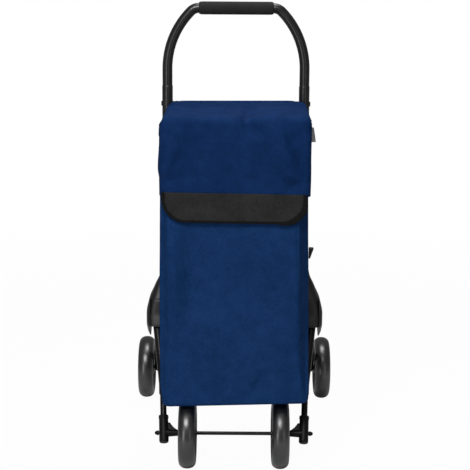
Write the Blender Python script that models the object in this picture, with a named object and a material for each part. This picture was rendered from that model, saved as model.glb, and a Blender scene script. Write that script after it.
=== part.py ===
"""A four-wheeled folding shopping trolley: bowed handle, A-frame legs, hung bag with a lid and a front flap.

Metres, +Z up, the user stands at +Y. The origin is on the floor, midway between the two axles.
"""

import math

import bmesh
import bpy
from mathutils import Vector

# Clearances, and the angle from which an edge shows
GAP = 0.0003
RUNNING_GAP = 0.0008
SHARP_EDGE = math.radians(35)

# Wheels
WHEEL_D = 0.155
TYRE_W = 0.038
TYRE_SEAT_W = 0.028
TYRE_BULGE_R = 0.0625
RIM_R = 0.0560
RIM_INNER_R = 0.0475
RIM_W = 0.028
RIM_DRAFT = 0.001
WEB_T = 0.012
HUB_R = 0.0170
HUB_W = 0.036
SPOKES = 5
SPOKE_W = 0.011
WINDOW_MARGIN = 0.003
BUSH_R = 0.0068
WHEEL_STEPS = 32
TYRE_SQUARENESS = 0.9

# Chassis layout
WHEELBASE = 0.428
FRONT_TRACK = 0.2048
REAR_TRACK = 0.4448
AXLE_D = 0.008
PIVOT_Z = 0.305
PIVOT_SPACING = 0.0372
PIN_D = 0.008

# Front legs: a wide tube down to the knee, a slim tube on to the foot
FRONT_PIVOT_X = 0.1842
FRONT_BOSS_REACH = 0.0338
FRONT_LEG_D = 0.018
FRONT_INSERT_D = 0.014
KNEE_RUN = 0.114
KNEE_OUT = 0.0057
KNEE_BEND = 0.012
LEG_SLEEVE_END = 0.090
INSERT_OVERLAP = 0.016
LEG_TOP = 0.010
TUBE_WALL = 0.0014

# Rear legs
REAR_PIVOT_X = 0.1855
REAR_BOSS_REACH = 0.0121
REAR_LEG_D = 0.016
CROSS_TUBE_D = 0.014
CROSS_TUBE_DROP = 0.160

# Feet
FOOT_D = 0.021
FRONT_FOOT_ENDS = (-0.022, 0.040)
REAR_FOOT_ENDS = (-0.010, 0.070)
SOCKET_ABOVE_AXLE = 0.012
SOCKET_CUT_PAST = 0.010
BOSS_D = 0.0165
BOSS_TIP_D = 0.0125
GUSSET_T = 0.005
GUSSET_RISE = 0.022
CAP_NUT_D = 0.0105
CAP_NUT_L = 0.0088
CAP_NUT_FORM = ((0, 1), (0.45, 0.95), (0.8, 0.68), (1, 0.3))
WASHER_D = 0.016
WASHER_T = 0.002
BOLT_HEAD_D = 0.014
BOLT_HEAD_T = 0.003

# Handle
LEAN = math.radians(3.5)
LEAN_FROM_Z = 0.33
UPRIGHT_X = 0.155
UPRIGHT_D = 0.0248
UPRIGHT_BOTTOM = 0.283
UPRIGHT_TOP = 0.818
BOW_D = 0.0225
BOW_INSERT = 0.060
SHOULDER_R = 0.18
SHOULDER_TURN = math.radians(45)
CORNER_R = 0.0265
GRIP_Z = 0.991
GRIP_D = 0.029
GRIP_EDGE = 0.0015

# Hinge housings: (height, outer face, half depth) from the cover's tip up
OVAL_SQUARENESS = 0.5
SLOT_IN_X = 0.1682
SPLIT_X = 0.1945
HOUSING_WALL = 0.003
HOUSING_BOTTOM = 0.2745
COVER_TOP = 0.333
HOUSING_FORM = (
    (0.235, 0.1985, 0.0030),
    (0.250, 0.2020, 0.0330),
    (0.2745, 0.2042, 0.0645),
    (0.302, 0.2045, 0.0510),
    (0.317, 0.2010, 0.0480),
    (0.331, 0.1972, 0.0440),
    (0.346, 0.1900, 0.0345),
    (0.361, 0.1840, 0.0265),
    (0.378, 0.1755, 0.0180),
    (0.405, 0.1705, 0.0155),
)
SLOT_HEAD_R = 0.0245
SLOT_RUN = 0.060
HOUSING_REACH = 0.090
PIN_END_IN = 0.0060
PIN_END_OUT = 0.0055
GEAR_T = 0.0036
GEAR_TEETH = 12
GEAR_ADDENDUM = 0.75
GEAR_DEDENDUM = 1.05
GEAR_ROOT_SHARE = 0.30
GEAR_TIP_SHARE = 0.11
BUTTON_W = 0.012
BUTTON_H = 0.010
BUTTON_L = 0.014
BUTTON_PROUD = 0.004
BUTTON_TRAVEL = 0.004
BUTTON_Z = 0.352
BUTTON_X = 0.1765

# Bag
BAG_HALF_W = 0.1575
BAG_BASE_HALF_W = 0.1515
BAG_TAPER_Z = 0.300
BAG_DEPTH = 0.230
BAG_REAR_GAP = 0.004
BAG_BOTTOM = 0.163
BAG_RIM = 0.743
BAG_WALL = 0.003
BAG_FRONT_CORNER_R = 0.028
BAG_REAR_CORNER_R = 0.018
BAG_BASE_R = 0.010
BOARD_T = 0.004
BOARD_INSET = 0.010
HOOP_D = 0.008
HOOP_Z = 0.7525
HOOP_INSET = 0.014
HOOP_CORNER_R = 0.030
HOOP_ARM_X = 0.142
CLIP_WALL = 0.0016
CLIP_H = 0.010
CLIP_Z = 0.778
CLIP_LUG = 0.012
STRAP_Z = 0.434
STRAP_H = 0.026
STRAP_T = 0.002
STRAP_TAIL = 0.040
BUCKLE_H = 0.024
BUCKLE_OUT = 0.0115
BUCKLE_W = 0.018
BUCKLE_FORM = ((-0.5, 0.3), (0.1, 0.7), (0.5, 1.0))
TAB_TOP_Z = 0.757
TAB_H = 0.031
TAB_W = 0.0115
TAB_T = 0.0016
TAB_FROM_FRONT = 0.034
TAB_FORM = ((1, 1.0), (0.5, 0.7), (0, 0.2))

# Lid and front flap
LID_TOP_Z = 0.787
LID_HALF_W = 0.1505
LID_T = 0.004
LID_FRONT_R = 0.040
FLAP_SPLIT = math.radians(45)
FLAP_SEAM_Z = 0.6205
FLAP_END_Z = 0.5610
PANEL_HALF_W = 0.1515
PANEL_CORNER_R = 0.034
PANEL_T = 0.0045

# Worked out from the sizes above
AXLE_Z = WHEEL_D / 2
FRONT_Y = -WHEELBASE / 2
REAR_Y = WHEELBASE / 2
FRONT_PIVOT_Y = -PIVOT_SPACING / 2
REAR_PIVOT_Y = PIVOT_SPACING / 2
FRONT_FOOT_X = FRONT_TRACK / 2 + HUB_W / 2 + RUNNING_GAP + FRONT_BOSS_REACH
REAR_FOOT_X = REAR_TRACK / 2 - HUB_W / 2 - RUNNING_GAP - REAR_BOSS_REACH
BAG_REAR_Y = -UPRIGHT_D / 2 - BAG_REAR_GAP
BAG_FRONT_Y = BAG_REAR_Y - BAG_DEPTH
LID_FRONT_Y = BAG_FRONT_Y - GAP - LID_T
SIDES = (("left", -1), ("right", 1))

BODIES = {}


def clear_scene():
    for old in list(bpy.data.objects):
        bpy.data.objects.remove(old)


def leaned(height):
    """How far back the handle's line lies at this height."""
    return (height - LEAN_FROM_Z) * math.tan(LEAN)


def material(name, colour, roughness, metallic=0.0):
    made = bpy.data.materials.new(name)
    made.use_nodes = True
    shader = made.node_tree.nodes["Principled BSDF"]
    shader.inputs["Base Color"].default_value = (*colour, 1.0)
    shader.inputs["Roughness"].default_value = roughness
    shader.inputs["Metallic"].default_value = metallic
    return made


def body(name, place, parent=None):
    """An empty on a joint's axis, which its moving pieces hang from."""
    empty = bpy.data.objects.new(name, None)
    bpy.context.scene.collection.objects.link(empty)
    empty.location = Vector(place) - (BODIES[parent.name] if parent else Vector())
    empty.parent = parent
    BODIES[name] = Vector(place)
    return empty


def piece(name, mesh, finish=None, carrier=None):
    """An object from a bmesh in world coordinates, with its origin where its carrier's is."""
    home = BODIES[carrier.name] if carrier else Vector()
    bmesh.ops.translate(mesh, vec=-home, verts=mesh.verts)
    bmesh.ops.recalc_face_normals(mesh, faces=mesh.faces)
    data = bpy.data.meshes.new(name)
    mesh.to_mesh(data)
    mesh.free()
    data.shade_smooth()
    data.set_sharp_from_angle(angle=SHARP_EDGE)
    made = bpy.data.objects.new(name, data)
    bpy.context.scene.collection.objects.link(made)
    made.parent = carrier
    if finish:
        data.materials.append(finish)
    return made


def combine(target, tool_mesh, operation):
    """Cuts a bmesh from an object, or joins it to it, with a hidden tool object."""
    tool = piece(f"{target.name}_tool_{len(target.modifiers)}", tool_mesh)
    tool.parent = target.parent
    tool.location = -BODIES[target.parent.name] if target.parent else Vector()
    tool.hide_render = True
    tool.display_type = "WIRE"
    step = target.modifiers.new(operation.lower(), "BOOLEAN")
    step.operation = operation
    step.solver = "EXACT"
    step.object = tool


def cut(target, tool_mesh):
    combine(target, tool_mesh, "DIFFERENCE")


def join(target, tool_mesh):
    combine(target, tool_mesh, "UNION")


def rings_mesh(rings, closed=False):
    """Faces between successive rings of points, with flat ends or closed back to the first ring."""
    mesh = bmesh.new()
    loops = [[mesh.verts.new(point) for point in ring] for ring in rings]
    count = len(loops[0])
    pairs = list(zip(loops, loops[1:]))
    if closed:
        pairs.append((loops[-1], loops[0]))
    for low, high in pairs:
        for i in range(count):
            j = (i + 1) % count
            mesh.faces.new((low[i], low[j], high[j], high[i]))
    if not closed:
        mesh.faces.new(loops[0])
        mesh.faces.new(list(reversed(loops[-1])))
    return mesh


def swept_rings(path, radius, sides):
    """Round sections square to a path, turned as little as possible from one to the next."""
    points = [Vector(point) for point in path]
    rings = []
    sideways = None
    for i, point in enumerate(points):
        along = (points[min(i + 1, len(points) - 1)] - points[max(i - 1, 0)]).normalized()
        if sideways is None:
            sideways = along.orthogonal().normalized()
        sideways = (sideways - along * sideways.dot(along)).normalized()
        other = along.cross(sideways)
        turns = [2 * math.pi * k / sides for k in range(sides)]
        rings.append([point + radius * (sideways * math.cos(t) + other * math.sin(t)) for t in turns])
    return rings


def rod(path, diameter, sides=12):
    return rings_mesh(swept_rings(path, diameter / 2, sides))


def tube(path, diameter, bore, sides=12):
    """A pipe with open ends."""
    outside = swept_rings(path, diameter / 2, sides)
    inside = swept_rings(path, bore / 2, sides)
    return rings_mesh(outside + inside[::-1], closed=True)


def turned(profile, centre, steps=WHEEL_STEPS):
    """A closed (radius, x) outline turned about the X direction through a centre."""
    rings = []
    for k in range(steps):
        turn = 2 * math.pi * k / steps
        spoke = Vector((0, math.cos(turn), math.sin(turn)))
        rings.append([Vector(centre) + Vector((x, 0, 0)) + spoke * r for r, x in profile])
    return rings_mesh(rings, closed=True)


def prism(outline, low_x, high_x):
    """A (y, z) outline pushed along X."""
    return rings_mesh([[Vector((x, y, z)) for y, z in outline] for x in (low_x, high_x)])


def block(low, high):
    outline = ((low[1], low[2]), (high[1], low[2]), (high[1], high[2]), (low[1], high[2]))
    return prism(outline, low[0], high[0])


def arc(centre, radius, start, end, steps):
    """Points on a circle in any plane's two coordinates."""
    turns = [start + (end - start) * k / steps for k in range(steps + 1)]
    return [(centre[0] + radius * math.cos(t), centre[1] + radius * math.sin(t)) for t in turns]


def rounded_plan(half_w, front_y, rear_y, front_r, rear_r, steps=4):
    """A rectangle in plan with rounded corners, anticlockwise from the rear right."""
    right = half_w
    quarter = math.pi / 2
    corners = (
        ((right - rear_r, rear_y - rear_r), rear_r, 0),
        ((-right + rear_r, rear_y - rear_r), rear_r, quarter),
        ((-right + front_r, front_y + front_r), front_r, 2 * quarter),
        ((right - front_r, front_y + front_r), front_r, 3 * quarter),
    )
    points = []
    for centre, radius, start in corners:
        points += arc(centre, radius, start, start + quarter, steps)
    return points


def oval_plan(low_x, high_x, centre_y, half_y, count=20):
    """A soft-cornered oblong in plan."""
    middle = (low_x + high_x) / 2
    half_x = (high_x - low_x) / 2
    points = []
    for k in range(count):
        turn = 2 * math.pi * (k + 0.5) / count
        c = math.cos(turn)
        s = math.sin(turn)
        points.append((
            middle + half_x * math.copysign(abs(c) ** OVAL_SQUARENESS, c),
            centre_y + half_y * math.copysign(abs(s) ** OVAL_SQUARENESS, s),
        ))
    return points


class Leg:
    """One pair's leg line: from the axle up to its pivot in side view, leaning out sideways."""

    def __init__(self, axle_y, pivot_y, low_x, high_x, foot_ends):
        self.low = Vector((0, axle_y, AXLE_Z))
        self.up = Vector((0, pivot_y - axle_y, PIVOT_Z - AXLE_Z))
        self.length = self.up.length
        self.up.normalize()
        self.normal = Vector((1, 0, 0)).cross(self.up)
        self.low_x = low_x
        self.high_x = high_x
        self.foot_ends = foot_ends

    def at(self, run, x):
        """The point this far up the leg from the axle, at this sideways place."""
        return self.low + self.up * run + Vector((x, 0, 0))

    def straight_x(self, run):
        return self.low_x + (self.high_x - self.low_x) * run / self.length


FRONT_LEG = Leg(FRONT_Y, FRONT_PIVOT_Y, FRONT_FOOT_X, FRONT_PIVOT_X, FRONT_FOOT_ENDS)
REAR_LEG = Leg(REAR_Y, REAR_PIVOT_Y, REAR_FOOT_X, REAR_PIVOT_X, REAR_FOOT_ENDS)


def front_leg_x(run):
    """The front leg splays gently up to its knee, then more up to the pivot."""
    knee_x = FRONT_FOOT_X + KNEE_OUT
    if run <= KNEE_RUN:
        return FRONT_FOOT_X + KNEE_OUT * run / KNEE_RUN
    return knee_x + (FRONT_PIVOT_X - knee_x) * (run - KNEE_RUN) / (FRONT_LEG.length - KNEE_RUN)


def cross_pin(centre_y, centre_z, low_x, high_x, diameter, sides=12):
    return rod(((low_x, centre_y, centre_z), (high_x, centre_y, centre_z)), diameter, sides)


def across(side, near, far):
    """Two sideways places in rising order, on the side given."""
    return sorted((side * near, side * far))


def make_wheel(name, x, y, carrier, paint):
    """Soft tyre on a spoked rim, with a plain bush on the axle."""
    centre = Vector((x, y, AXLE_Z))
    spin = body(f"{name}_axis", centre, carrier)
    crown = arc((0, 0), 1, 0, math.pi, 6)
    rise = WHEEL_D / 2 - TYRE_BULGE_R
    tyre = []
    for c, s in crown:
        out = rise * max(s, 0) ** TYRE_SQUARENESS
        tyre.append((TYRE_BULGE_R + out, TYRE_W / 2 * math.copysign(abs(c) ** TYRE_SQUARENESS, c)))
    seat_r = RIM_R + GAP
    tyre += [(seat_r, -TYRE_SEAT_W / 2), (seat_r, TYRE_SEAT_W / 2)]
    piece(f"{name}_tyre", turned(tyre, centre), paint["tyre"], spin)

    bush_hole = BUSH_R + GAP
    half = [(RIM_R, RIM_W / 2), (RIM_INNER_R, RIM_W / 2), (RIM_INNER_R - RIM_DRAFT, WEB_T / 2),
            (HUB_R + RIM_DRAFT, WEB_T / 2), (HUB_R, HUB_W / 2), (bush_hole, HUB_W / 2)]
    rim_profile = half + [(r, -w) for r, w in reversed(half)]
    rim = piece(f"{name}_rim", turned(rim_profile, centre), paint["rim"], spin)
    cut(rim, spoke_windows(centre))

    bush_profile = [(BUSH_R, HUB_W / 2), (AXLE_D / 2 + GAP, HUB_W / 2)]
    bush_profile += [(r, -w) for r, w in reversed(bush_profile)]
    piece(f"{name}_bush", turned(bush_profile, centre, 16), paint["plastic"], spin)


def spoke_windows(centre):
    """The openings between the spokes, as one mesh of separate bodies."""
    merged = bmesh.new()
    outer = RIM_INNER_R - WINDOW_MARGIN
    inner = HUB_R + WINDOW_MARGIN
    for k in range(SPOKES):
        middle = 2 * math.pi * k / SPOKES + math.pi / 2
        outer_half = math.pi / SPOKES - SPOKE_W / 2 / outer
        inner_half = math.pi / SPOKES - SPOKE_W / 2 / inner
        outline = arc((centre.y, centre.z), outer, middle - outer_half, middle + outer_half, 5)
        outline += arc((centre.y, centre.z), inner, middle + inner_half, middle - inner_half, 2)
        window = prism(outline, centre.x - WEB_T, centre.x + WEB_T)
        bmesh.ops.recalc_face_normals(window, faces=window.faces)
        add_mesh(merged, window)
    return merged


def add_mesh(target, extra):
    """Copies one bmesh into another, as a separate body."""
    made = {vert: target.verts.new(vert.co) for vert in extra.verts}
    for face in extra.faces:
        target.faces.new([made[vert] for vert in face.verts])
    extra.free()


def make_foot(name, side, leg, x_at, wheel_face, leg_d, carrier, finish):
    """A moulded foot: a socket for the leg, and a ribbed boss that reaches to the wheel's hub."""
    ends = [leg.at(run, side * x_at(run)) for run in leg.foot_ends]
    foot = piece(name, rod(ends, FOOT_D, 16), finish, carrier)
    centre = leg.at(0, side * x_at(0))
    reach = wheel_face - x_at(0)
    outward = math.copysign(1, reach)
    root = centre + Vector((side * outward * FOOT_D / 4, 0, 0))
    tip = centre + Vector((side * reach, 0, 0))
    boss = rings_mesh(swept_rings((root, tip), BOSS_D / 2, 12))
    shrink_end(boss, tip, BOSS_TIP_D / BOSS_D)
    join(foot, boss)
    rib = []
    for offset in (-GUSSET_T / 2, GUSSET_T / 2):
        shift = leg.normal * offset
        heel = root - leg.up * BOSS_TIP_D / 4
        toe = tip - Vector((side * outward * BOSS_TIP_D / 4, 0, 0))
        rib.append([heel + shift, toe + shift, toe + leg.up * BOSS_TIP_D / 2 + shift,
                    root + leg.up * GUSSET_RISE + shift])
    join(foot, rings_mesh(rib))
    past = max(leg.foot_ends) + SOCKET_CUT_PAST
    mouth = leg.at(past, side * x_at(past))
    floor = leg.at(SOCKET_ABOVE_AXLE, side * x_at(SOCKET_ABOVE_AXLE))
    cut(foot, rod((floor, mouth), leg_d + 2 * GAP))
    far = abs(reach) + FOOT_D
    cut(foot, cross_pin(leg.low.y, AXLE_Z, centre.x - far, centre.x + far, AXLE_D + 2 * GAP))


def shrink_end(mesh, centre, factor):
    """Tapers the end of a round bar that lies at this centre."""
    for vert in mesh.verts:
        if abs(vert.co.x - centre.x) < GAP:
            vert.co = centre + (vert.co - centre) * factor


def make_front_legs(paint, pair):
    top_run = FRONT_LEG.length + LEG_TOP
    upper_runs = (LEG_SLEEVE_END, KNEE_RUN - KNEE_BEND, KNEE_RUN + KNEE_BEND, top_run)
    lower_runs = (SOCKET_ABOVE_AXLE + GAP, LEG_SLEEVE_END + INSERT_OVERLAP - GAP)
    boss_face = FRONT_TRACK / 2 + HUB_W / 2 + RUNNING_GAP
    for word, side in SIDES:
        path = [FRONT_LEG.at(run, side * front_leg_x(run)) for run in upper_runs]
        bore = FRONT_INSERT_D + 2 * GAP
        upper = piece(f"front_leg_{word}", tube(path, FRONT_LEG_D, bore), paint["steel"], pair)
        cut(upper, pin_hole(side, FRONT_PIVOT_Y))
        path = [FRONT_LEG.at(run, side * front_leg_x(run)) for run in lower_runs]
        slim_bore = FRONT_INSERT_D - 2 * TUBE_WALL
        piece(f"front_leg_insert_{word}", tube(path, FRONT_INSERT_D, slim_bore), paint["steel"], pair)
        make_foot(f"front_foot_{word}", side, FRONT_LEG, front_leg_x, boss_face, FRONT_INSERT_D,
                  pair, paint["plastic"])
    end = FRONT_FOOT_X + FOOT_D / 2 + RUNNING_GAP
    piece("front_axle", cross_pin(FRONT_Y, AXLE_Z, -end, end, AXLE_D), paint["bright"], pair)
    inner = FRONT_TRACK / 2 - HUB_W / 2 - RUNNING_GAP
    ring = [(WASHER_D / 2, 0), (AXLE_D / 2 + GAP, 0),
            (AXLE_D / 2 + GAP, WASHER_T), (WASHER_D / 2, WASHER_T)]
    for word, side in SIDES:
        piece(f"front_axle_cap_{word}", cap_nut(side, end + GAP, FRONT_Y), paint["plastic"], pair)
        low = min(across(side, inner, inner - WASHER_T))
        washer = turned(ring, (low, FRONT_Y, AXLE_Z), 16)
        piece(f"front_axle_washer_{word}", washer, paint["bright"], pair)


def cap_nut(side, start_x, y):
    """A domed push-on cap on an axle's end."""
    rings = []
    for share, size in CAP_NUT_FORM:
        x = side * (start_x + CAP_NUT_L * share)
        line = ((x, y, AXLE_Z), (x + side * GAP, y, AXLE_Z))
        rings.append(swept_rings(line, CAP_NUT_D / 2 * size, 16)[0])
    return rings_mesh(rings)


def pin_hole(side, y):
    low, high = across(side, SLOT_IN_X - FRONT_LEG_D, SPLIT_X + FRONT_LEG_D)
    return cross_pin(y, PIVOT_Z, low, high, PIN_D + 2 * GAP)


def make_rear_legs(paint, pair):
    boss_face = REAR_TRACK / 2 - HUB_W / 2 - RUNNING_GAP
    runs = (SOCKET_ABOVE_AXLE + GAP, REAR_LEG.length + LEG_TOP)
    for word, side in SIDES:
        path = [REAR_LEG.at(run, side * REAR_LEG.straight_x(run)) for run in runs]
        bore = REAR_LEG_D - 2 * TUBE_WALL
        leg = piece(f"rear_leg_{word}", tube(path, REAR_LEG_D, bore), paint["steel"], pair)
        cut(leg, pin_hole(side, REAR_PIVOT_Y))
        make_foot(f"rear_foot_{word}", side, REAR_LEG, REAR_LEG.straight_x, boss_face, REAR_LEG_D,
                  pair, paint["plastic"])
        start = REAR_FOOT_X - FOOT_D / 2
        face = REAR_TRACK / 2 + HUB_W / 2 + RUNNING_GAP
        bolt = piece(f"rear_axle_bolt_{word}",
                     cross_pin(REAR_Y, AXLE_Z, *across(side, start, face + BOLT_HEAD_T / 2), AXLE_D),
                     paint["bright"], pair)
        join(bolt, cross_pin(REAR_Y, AXLE_Z, *across(side, face, face + BOLT_HEAD_T), BOLT_HEAD_D))
    run = REAR_LEG.length - CROSS_TUBE_DROP
    end = REAR_LEG.straight_x(run) - REAR_LEG_D / 2 - GAP
    ends = (REAR_LEG.at(run, -end), REAR_LEG.at(run, end))
    piece("rear_cross_tube", tube(ends, CROSS_TUBE_D, CROSS_TUBE_D - 2 * TUBE_WALL), paint["steel"], pair)


def housing_width(height):
    """Half depth of the housing's form at a height between its sections."""
    for (low, _, wide_low), (high, _, wide_high) in zip(HOUSING_FORM, HOUSING_FORM[1:]):
        if low <= height <= high:
            return wide_low + (wide_high - wide_low) * (height - low) / (high - low)
    return HOUSING_FORM[-1][2]


def housing_form(side, inner_x):
    """The whole joint, housing and cover together, which leans back only above the legs."""
    rings = []
    for height, outer_x, half_depth in HOUSING_FORM:
        low, high = across(side, inner_x, outer_x)
        plan = oval_plan(low, high, max(leaned(height), 0), half_depth)
        rings.append([Vector((x, y, height)) for x, y in plan])
    return rings_mesh(rings)


def slot_outline():
    """Side view of the room that the leg tops turn in: open below, and walled beyond the open legs."""
    pivot = Vector((REAR_PIVOT_Y, PIVOT_Z))
    down = -REAR_LEG.up.yz
    beyond = Vector((-down.y, down.x))
    offset = FRONT_LEG_D / 2 + RUNNING_GAP
    along = math.sqrt(SLOT_HEAD_R ** 2 - offset ** 2)
    leave = down * along + beyond * offset
    meet = math.acos(PIVOT_SPACING / 2 / SLOT_HEAD_R)
    rear = arc(pivot, SLOT_HEAD_R, math.atan2(leave.y, leave.x), math.pi - meet, 8)
    rear.insert(0, tuple(pivot + leave + down * SLOT_RUN))
    return rear + [(-y, z) for y, z in reversed(rear[:-1])]


def make_hinges(paint):
    wall_y = -UPRIGHT_D / 2 - HOUSING_WALL
    inner_x = UPRIGHT_X - UPRIGHT_D / 2 - HOUSING_WALL
    bag_side = BAG_HALF_W + HOUSING_WALL
    low_z = HOUSING_FORM[0][0] - HOUSING_WALL
    high_z = HOUSING_FORM[-1][0] + HOUSING_WALL
    deep = HOUSING_REACH
    for word, side in SIDES:
        near, split = across(side, inner_x - HOUSING_WALL, SPLIT_X + GAP)
        outer, far = across(side, SPLIT_X, SPLIT_X + deep)
        house = piece(f"hinge_housing_{word}", housing_form(side, inner_x), paint["plastic"])
        cut(house, block((min(near, outer), -deep, low_z), (max(split, far), deep, HOUSING_BOTTOM)))
        cut(house, block((outer, -deep, low_z), (far, deep, COVER_TOP)))
        cut(house, prism(slot_outline(), *across(side, SLOT_IN_X, SPLIT_X + FRONT_LEG_D)))
        corner = []
        for z in (low_z, high_z):
            back = wall_y + leaned(z)
            inside, outside = across(side, inner_x - HOUSING_WALL, bag_side)
            corner.append([Vector(p) for p in ((inside, -deep, z), (outside, -deep, z),
                                               (outside, back, z), (inside, back, z))])
        cut(house, rings_mesh(corner))
        bore = [(side * UPRIGHT_X, leaned(z), z) for z in (UPRIGHT_BOTTOM - GAP, high_z)]
        cut(house, rod(bore, UPRIGHT_D + 2 * GAP, 16))
        for pivot_y in (FRONT_PIVOT_Y, REAR_PIVOT_Y):
            start = SLOT_IN_X - PIN_END_IN - GAP
            cut(house, cross_pin(pivot_y, PIVOT_Z, *across(side, start, SPLIT_X), PIN_D + 2 * GAP))
        make_lock_button(word, side, house, paint)
        cover = piece(f"hinge_cover_{word}", housing_form(side, inner_x), paint["plastic"])
        cut(cover, block((near, -deep, low_z), (split, deep, high_z)))
        cut(cover, block((outer, -deep, COVER_TOP - GAP), (far, deep, high_z)))
        for pivot_y in (FRONT_PIVOT_Y, REAR_PIVOT_Y):
            end = SPLIT_X + PIN_END_OUT + GAP
            cut(cover, cross_pin(pivot_y, PIVOT_Z, *across(side, SPLIT_X - GAP, end), PIN_D + 2 * GAP))


def make_pivots(paint, front_pair, rear_pair):
    """Pins and toothed plates; the plates mesh, so both pairs of legs fold together."""
    for word, side in SIDES:
        for end, y, phase, pair in (("front", FRONT_PIVOT_Y, 0.0, front_pair),
                                    ("rear", REAR_PIVOT_Y, 0.5, rear_pair)):
            low, high = across(side, SLOT_IN_X - PIN_END_IN, SPLIT_X + PIN_END_OUT)
            pin = cross_pin(y, PIVOT_Z, low, high, PIN_D)
            piece(f"{end}_pivot_pin_{word}", pin, paint["bright"])
            plate = prism(gear_outline(y, phase), *across(side, SLOT_IN_X + GAP, SLOT_IN_X + GAP + GEAR_T))
            gear = piece(f"{end}_fold_gear_{word}", plate, paint["plastic"], pair)
            cut(gear, pin_hole(side, y))


def gear_outline(centre_y, phase):
    """Straight-sided teeth round a pivot, with the first tooth, or gap, on the line to the other pivot."""
    pitch_r = PIVOT_SPACING / 2
    module = 2 * pitch_r / GEAR_TEETH
    tip = pitch_r + GEAR_ADDENDUM * module
    root = pitch_r - GEAR_DEDENDUM * module
    step = 2 * math.pi / GEAR_TEETH
    towards = 0 if centre_y < 0 else math.pi
    tooth = ((root, -GEAR_ROOT_SHARE), (tip, -GEAR_TIP_SHARE), (tip, GEAR_TIP_SHARE), (root, GEAR_ROOT_SHARE))
    points = []
    for k in range(GEAR_TEETH):
        middle = towards + (k + phase) * step
        for radius, share in tooth:
            turn = middle + share * step
            points.append((centre_y + radius * math.cos(turn), PIVOT_Z + radius * math.sin(turn)))
    return points


def make_lock_button(word, side, house, paint):
    """A thumb button at the back of each housing, which frees the fold."""
    face_y = leaned(BUTTON_Z) + housing_width(BUTTON_Z)
    start_y = face_y + BUTTON_PROUD - BUTTON_L
    low_x, high_x = across(side, BUTTON_X - BUTTON_W / 2, BUTTON_X + BUTTON_W / 2)
    low = Vector((low_x, start_y, BUTTON_Z - BUTTON_H / 2))
    high = Vector((high_x, face_y + BUTTON_PROUD, BUTTON_Z + BUTTON_H / 2))
    slide = body(f"fold_lock_{word}_slide", (side * BUTTON_X, face_y, BUTTON_Z))
    button = piece(f"fold_lock_button_{word}", block(low, high), paint["button"], slide)
    edge = button.modifiers.new("edge", "BEVEL")
    edge.width = BUTTON_PROUD / 4
    edge.segments = 1
    gap = Vector((GAP, 0, GAP))
    pocket_low = low - gap - Vector((0, BUTTON_TRAVEL + GAP, 0))
    cut(house, block(pocket_low, high + gap + Vector((0, BUTTON_L, 0))))


def make_handle(paint):
    bore = BOW_D + 2 * GAP
    for word, side in SIDES:
        path = [(side * UPRIGHT_X, leaned(z), z) for z in (UPRIGHT_BOTTOM, UPRIGHT_TOP)]
        piece(f"upright_{word}", tube(path, UPRIGHT_D, bore, 16), paint["steel"])
    path = bow_path()
    piece("handle_bow", tube(path, BOW_D, BOW_D - 2 * TUBE_WALL), paint["steel"])
    half = grip_half_length()
    inner = BOW_D / 2 + GAP
    ring = [(GRIP_D / 2, half), (inner, half), (inner, -half), (GRIP_D / 2, -half)]
    grip = piece("handle_grip", turned(ring, (0, leaned(GRIP_Z), GRIP_Z), 20), paint["foam"])
    edge = grip.modifiers.new("edge", "BEVEL")
    edge.width = GRIP_EDGE
    edge.segments = 1
    edge.limit_method = "ANGLE"


def shoulder_inset():
    return SHOULDER_R * (1 - math.cos(SHOULDER_TURN)) + CORNER_R * math.cos(SHOULDER_TURN)


def grip_half_length():
    return UPRIGHT_X - shoulder_inset()


def bow_path():
    """Up one side, round its wide shoulder and its tight corner, across the grip and down again."""
    corner_rise = CORNER_R * (1 - math.sin(SHOULDER_TURN))
    bend_z = GRIP_Z - corner_rise - SHOULDER_R * math.sin(SHOULDER_TURN)
    right = [(UPRIGHT_X, UPRIGHT_TOP - BOW_INSERT)]
    right += arc((UPRIGHT_X - SHOULDER_R, bend_z), SHOULDER_R, 0, SHOULDER_TURN, 6)
    centre = (grip_half_length(), GRIP_Z - CORNER_R)
    right += arc(centre, CORNER_R, SHOULDER_TURN, math.pi / 2, 3)[1:]
    outline = right + [(-x, z) for x, z in reversed(right)]
    return [(x, leaned(z), z) for x, z in outline]


def bag_half_width(height):
    """The sides draw in towards the base, between the legs."""
    share = min(1, max(0, (height - BAG_BOTTOM) / (BAG_TAPER_Z - BAG_BOTTOM)))
    return BAG_BASE_HALF_W + (BAG_HALF_W - BAG_BASE_HALF_W) * share


def bag_ring(height, inset):
    """The bag's plan at a height, drawn in by an inset."""
    half = bag_half_width(height) - inset
    front = BAG_FRONT_Y + inset
    rear = BAG_REAR_Y - inset
    front_r = max(BAG_FRONT_CORNER_R - inset, BAG_WALL)
    rear_r = max(BAG_REAR_CORNER_R - inset, BAG_WALL)
    plan = rounded_plan(half, front, rear, front_r, rear_r)
    return [Vector((x, y + leaned(height), height)) for x, y in plan]


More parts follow.
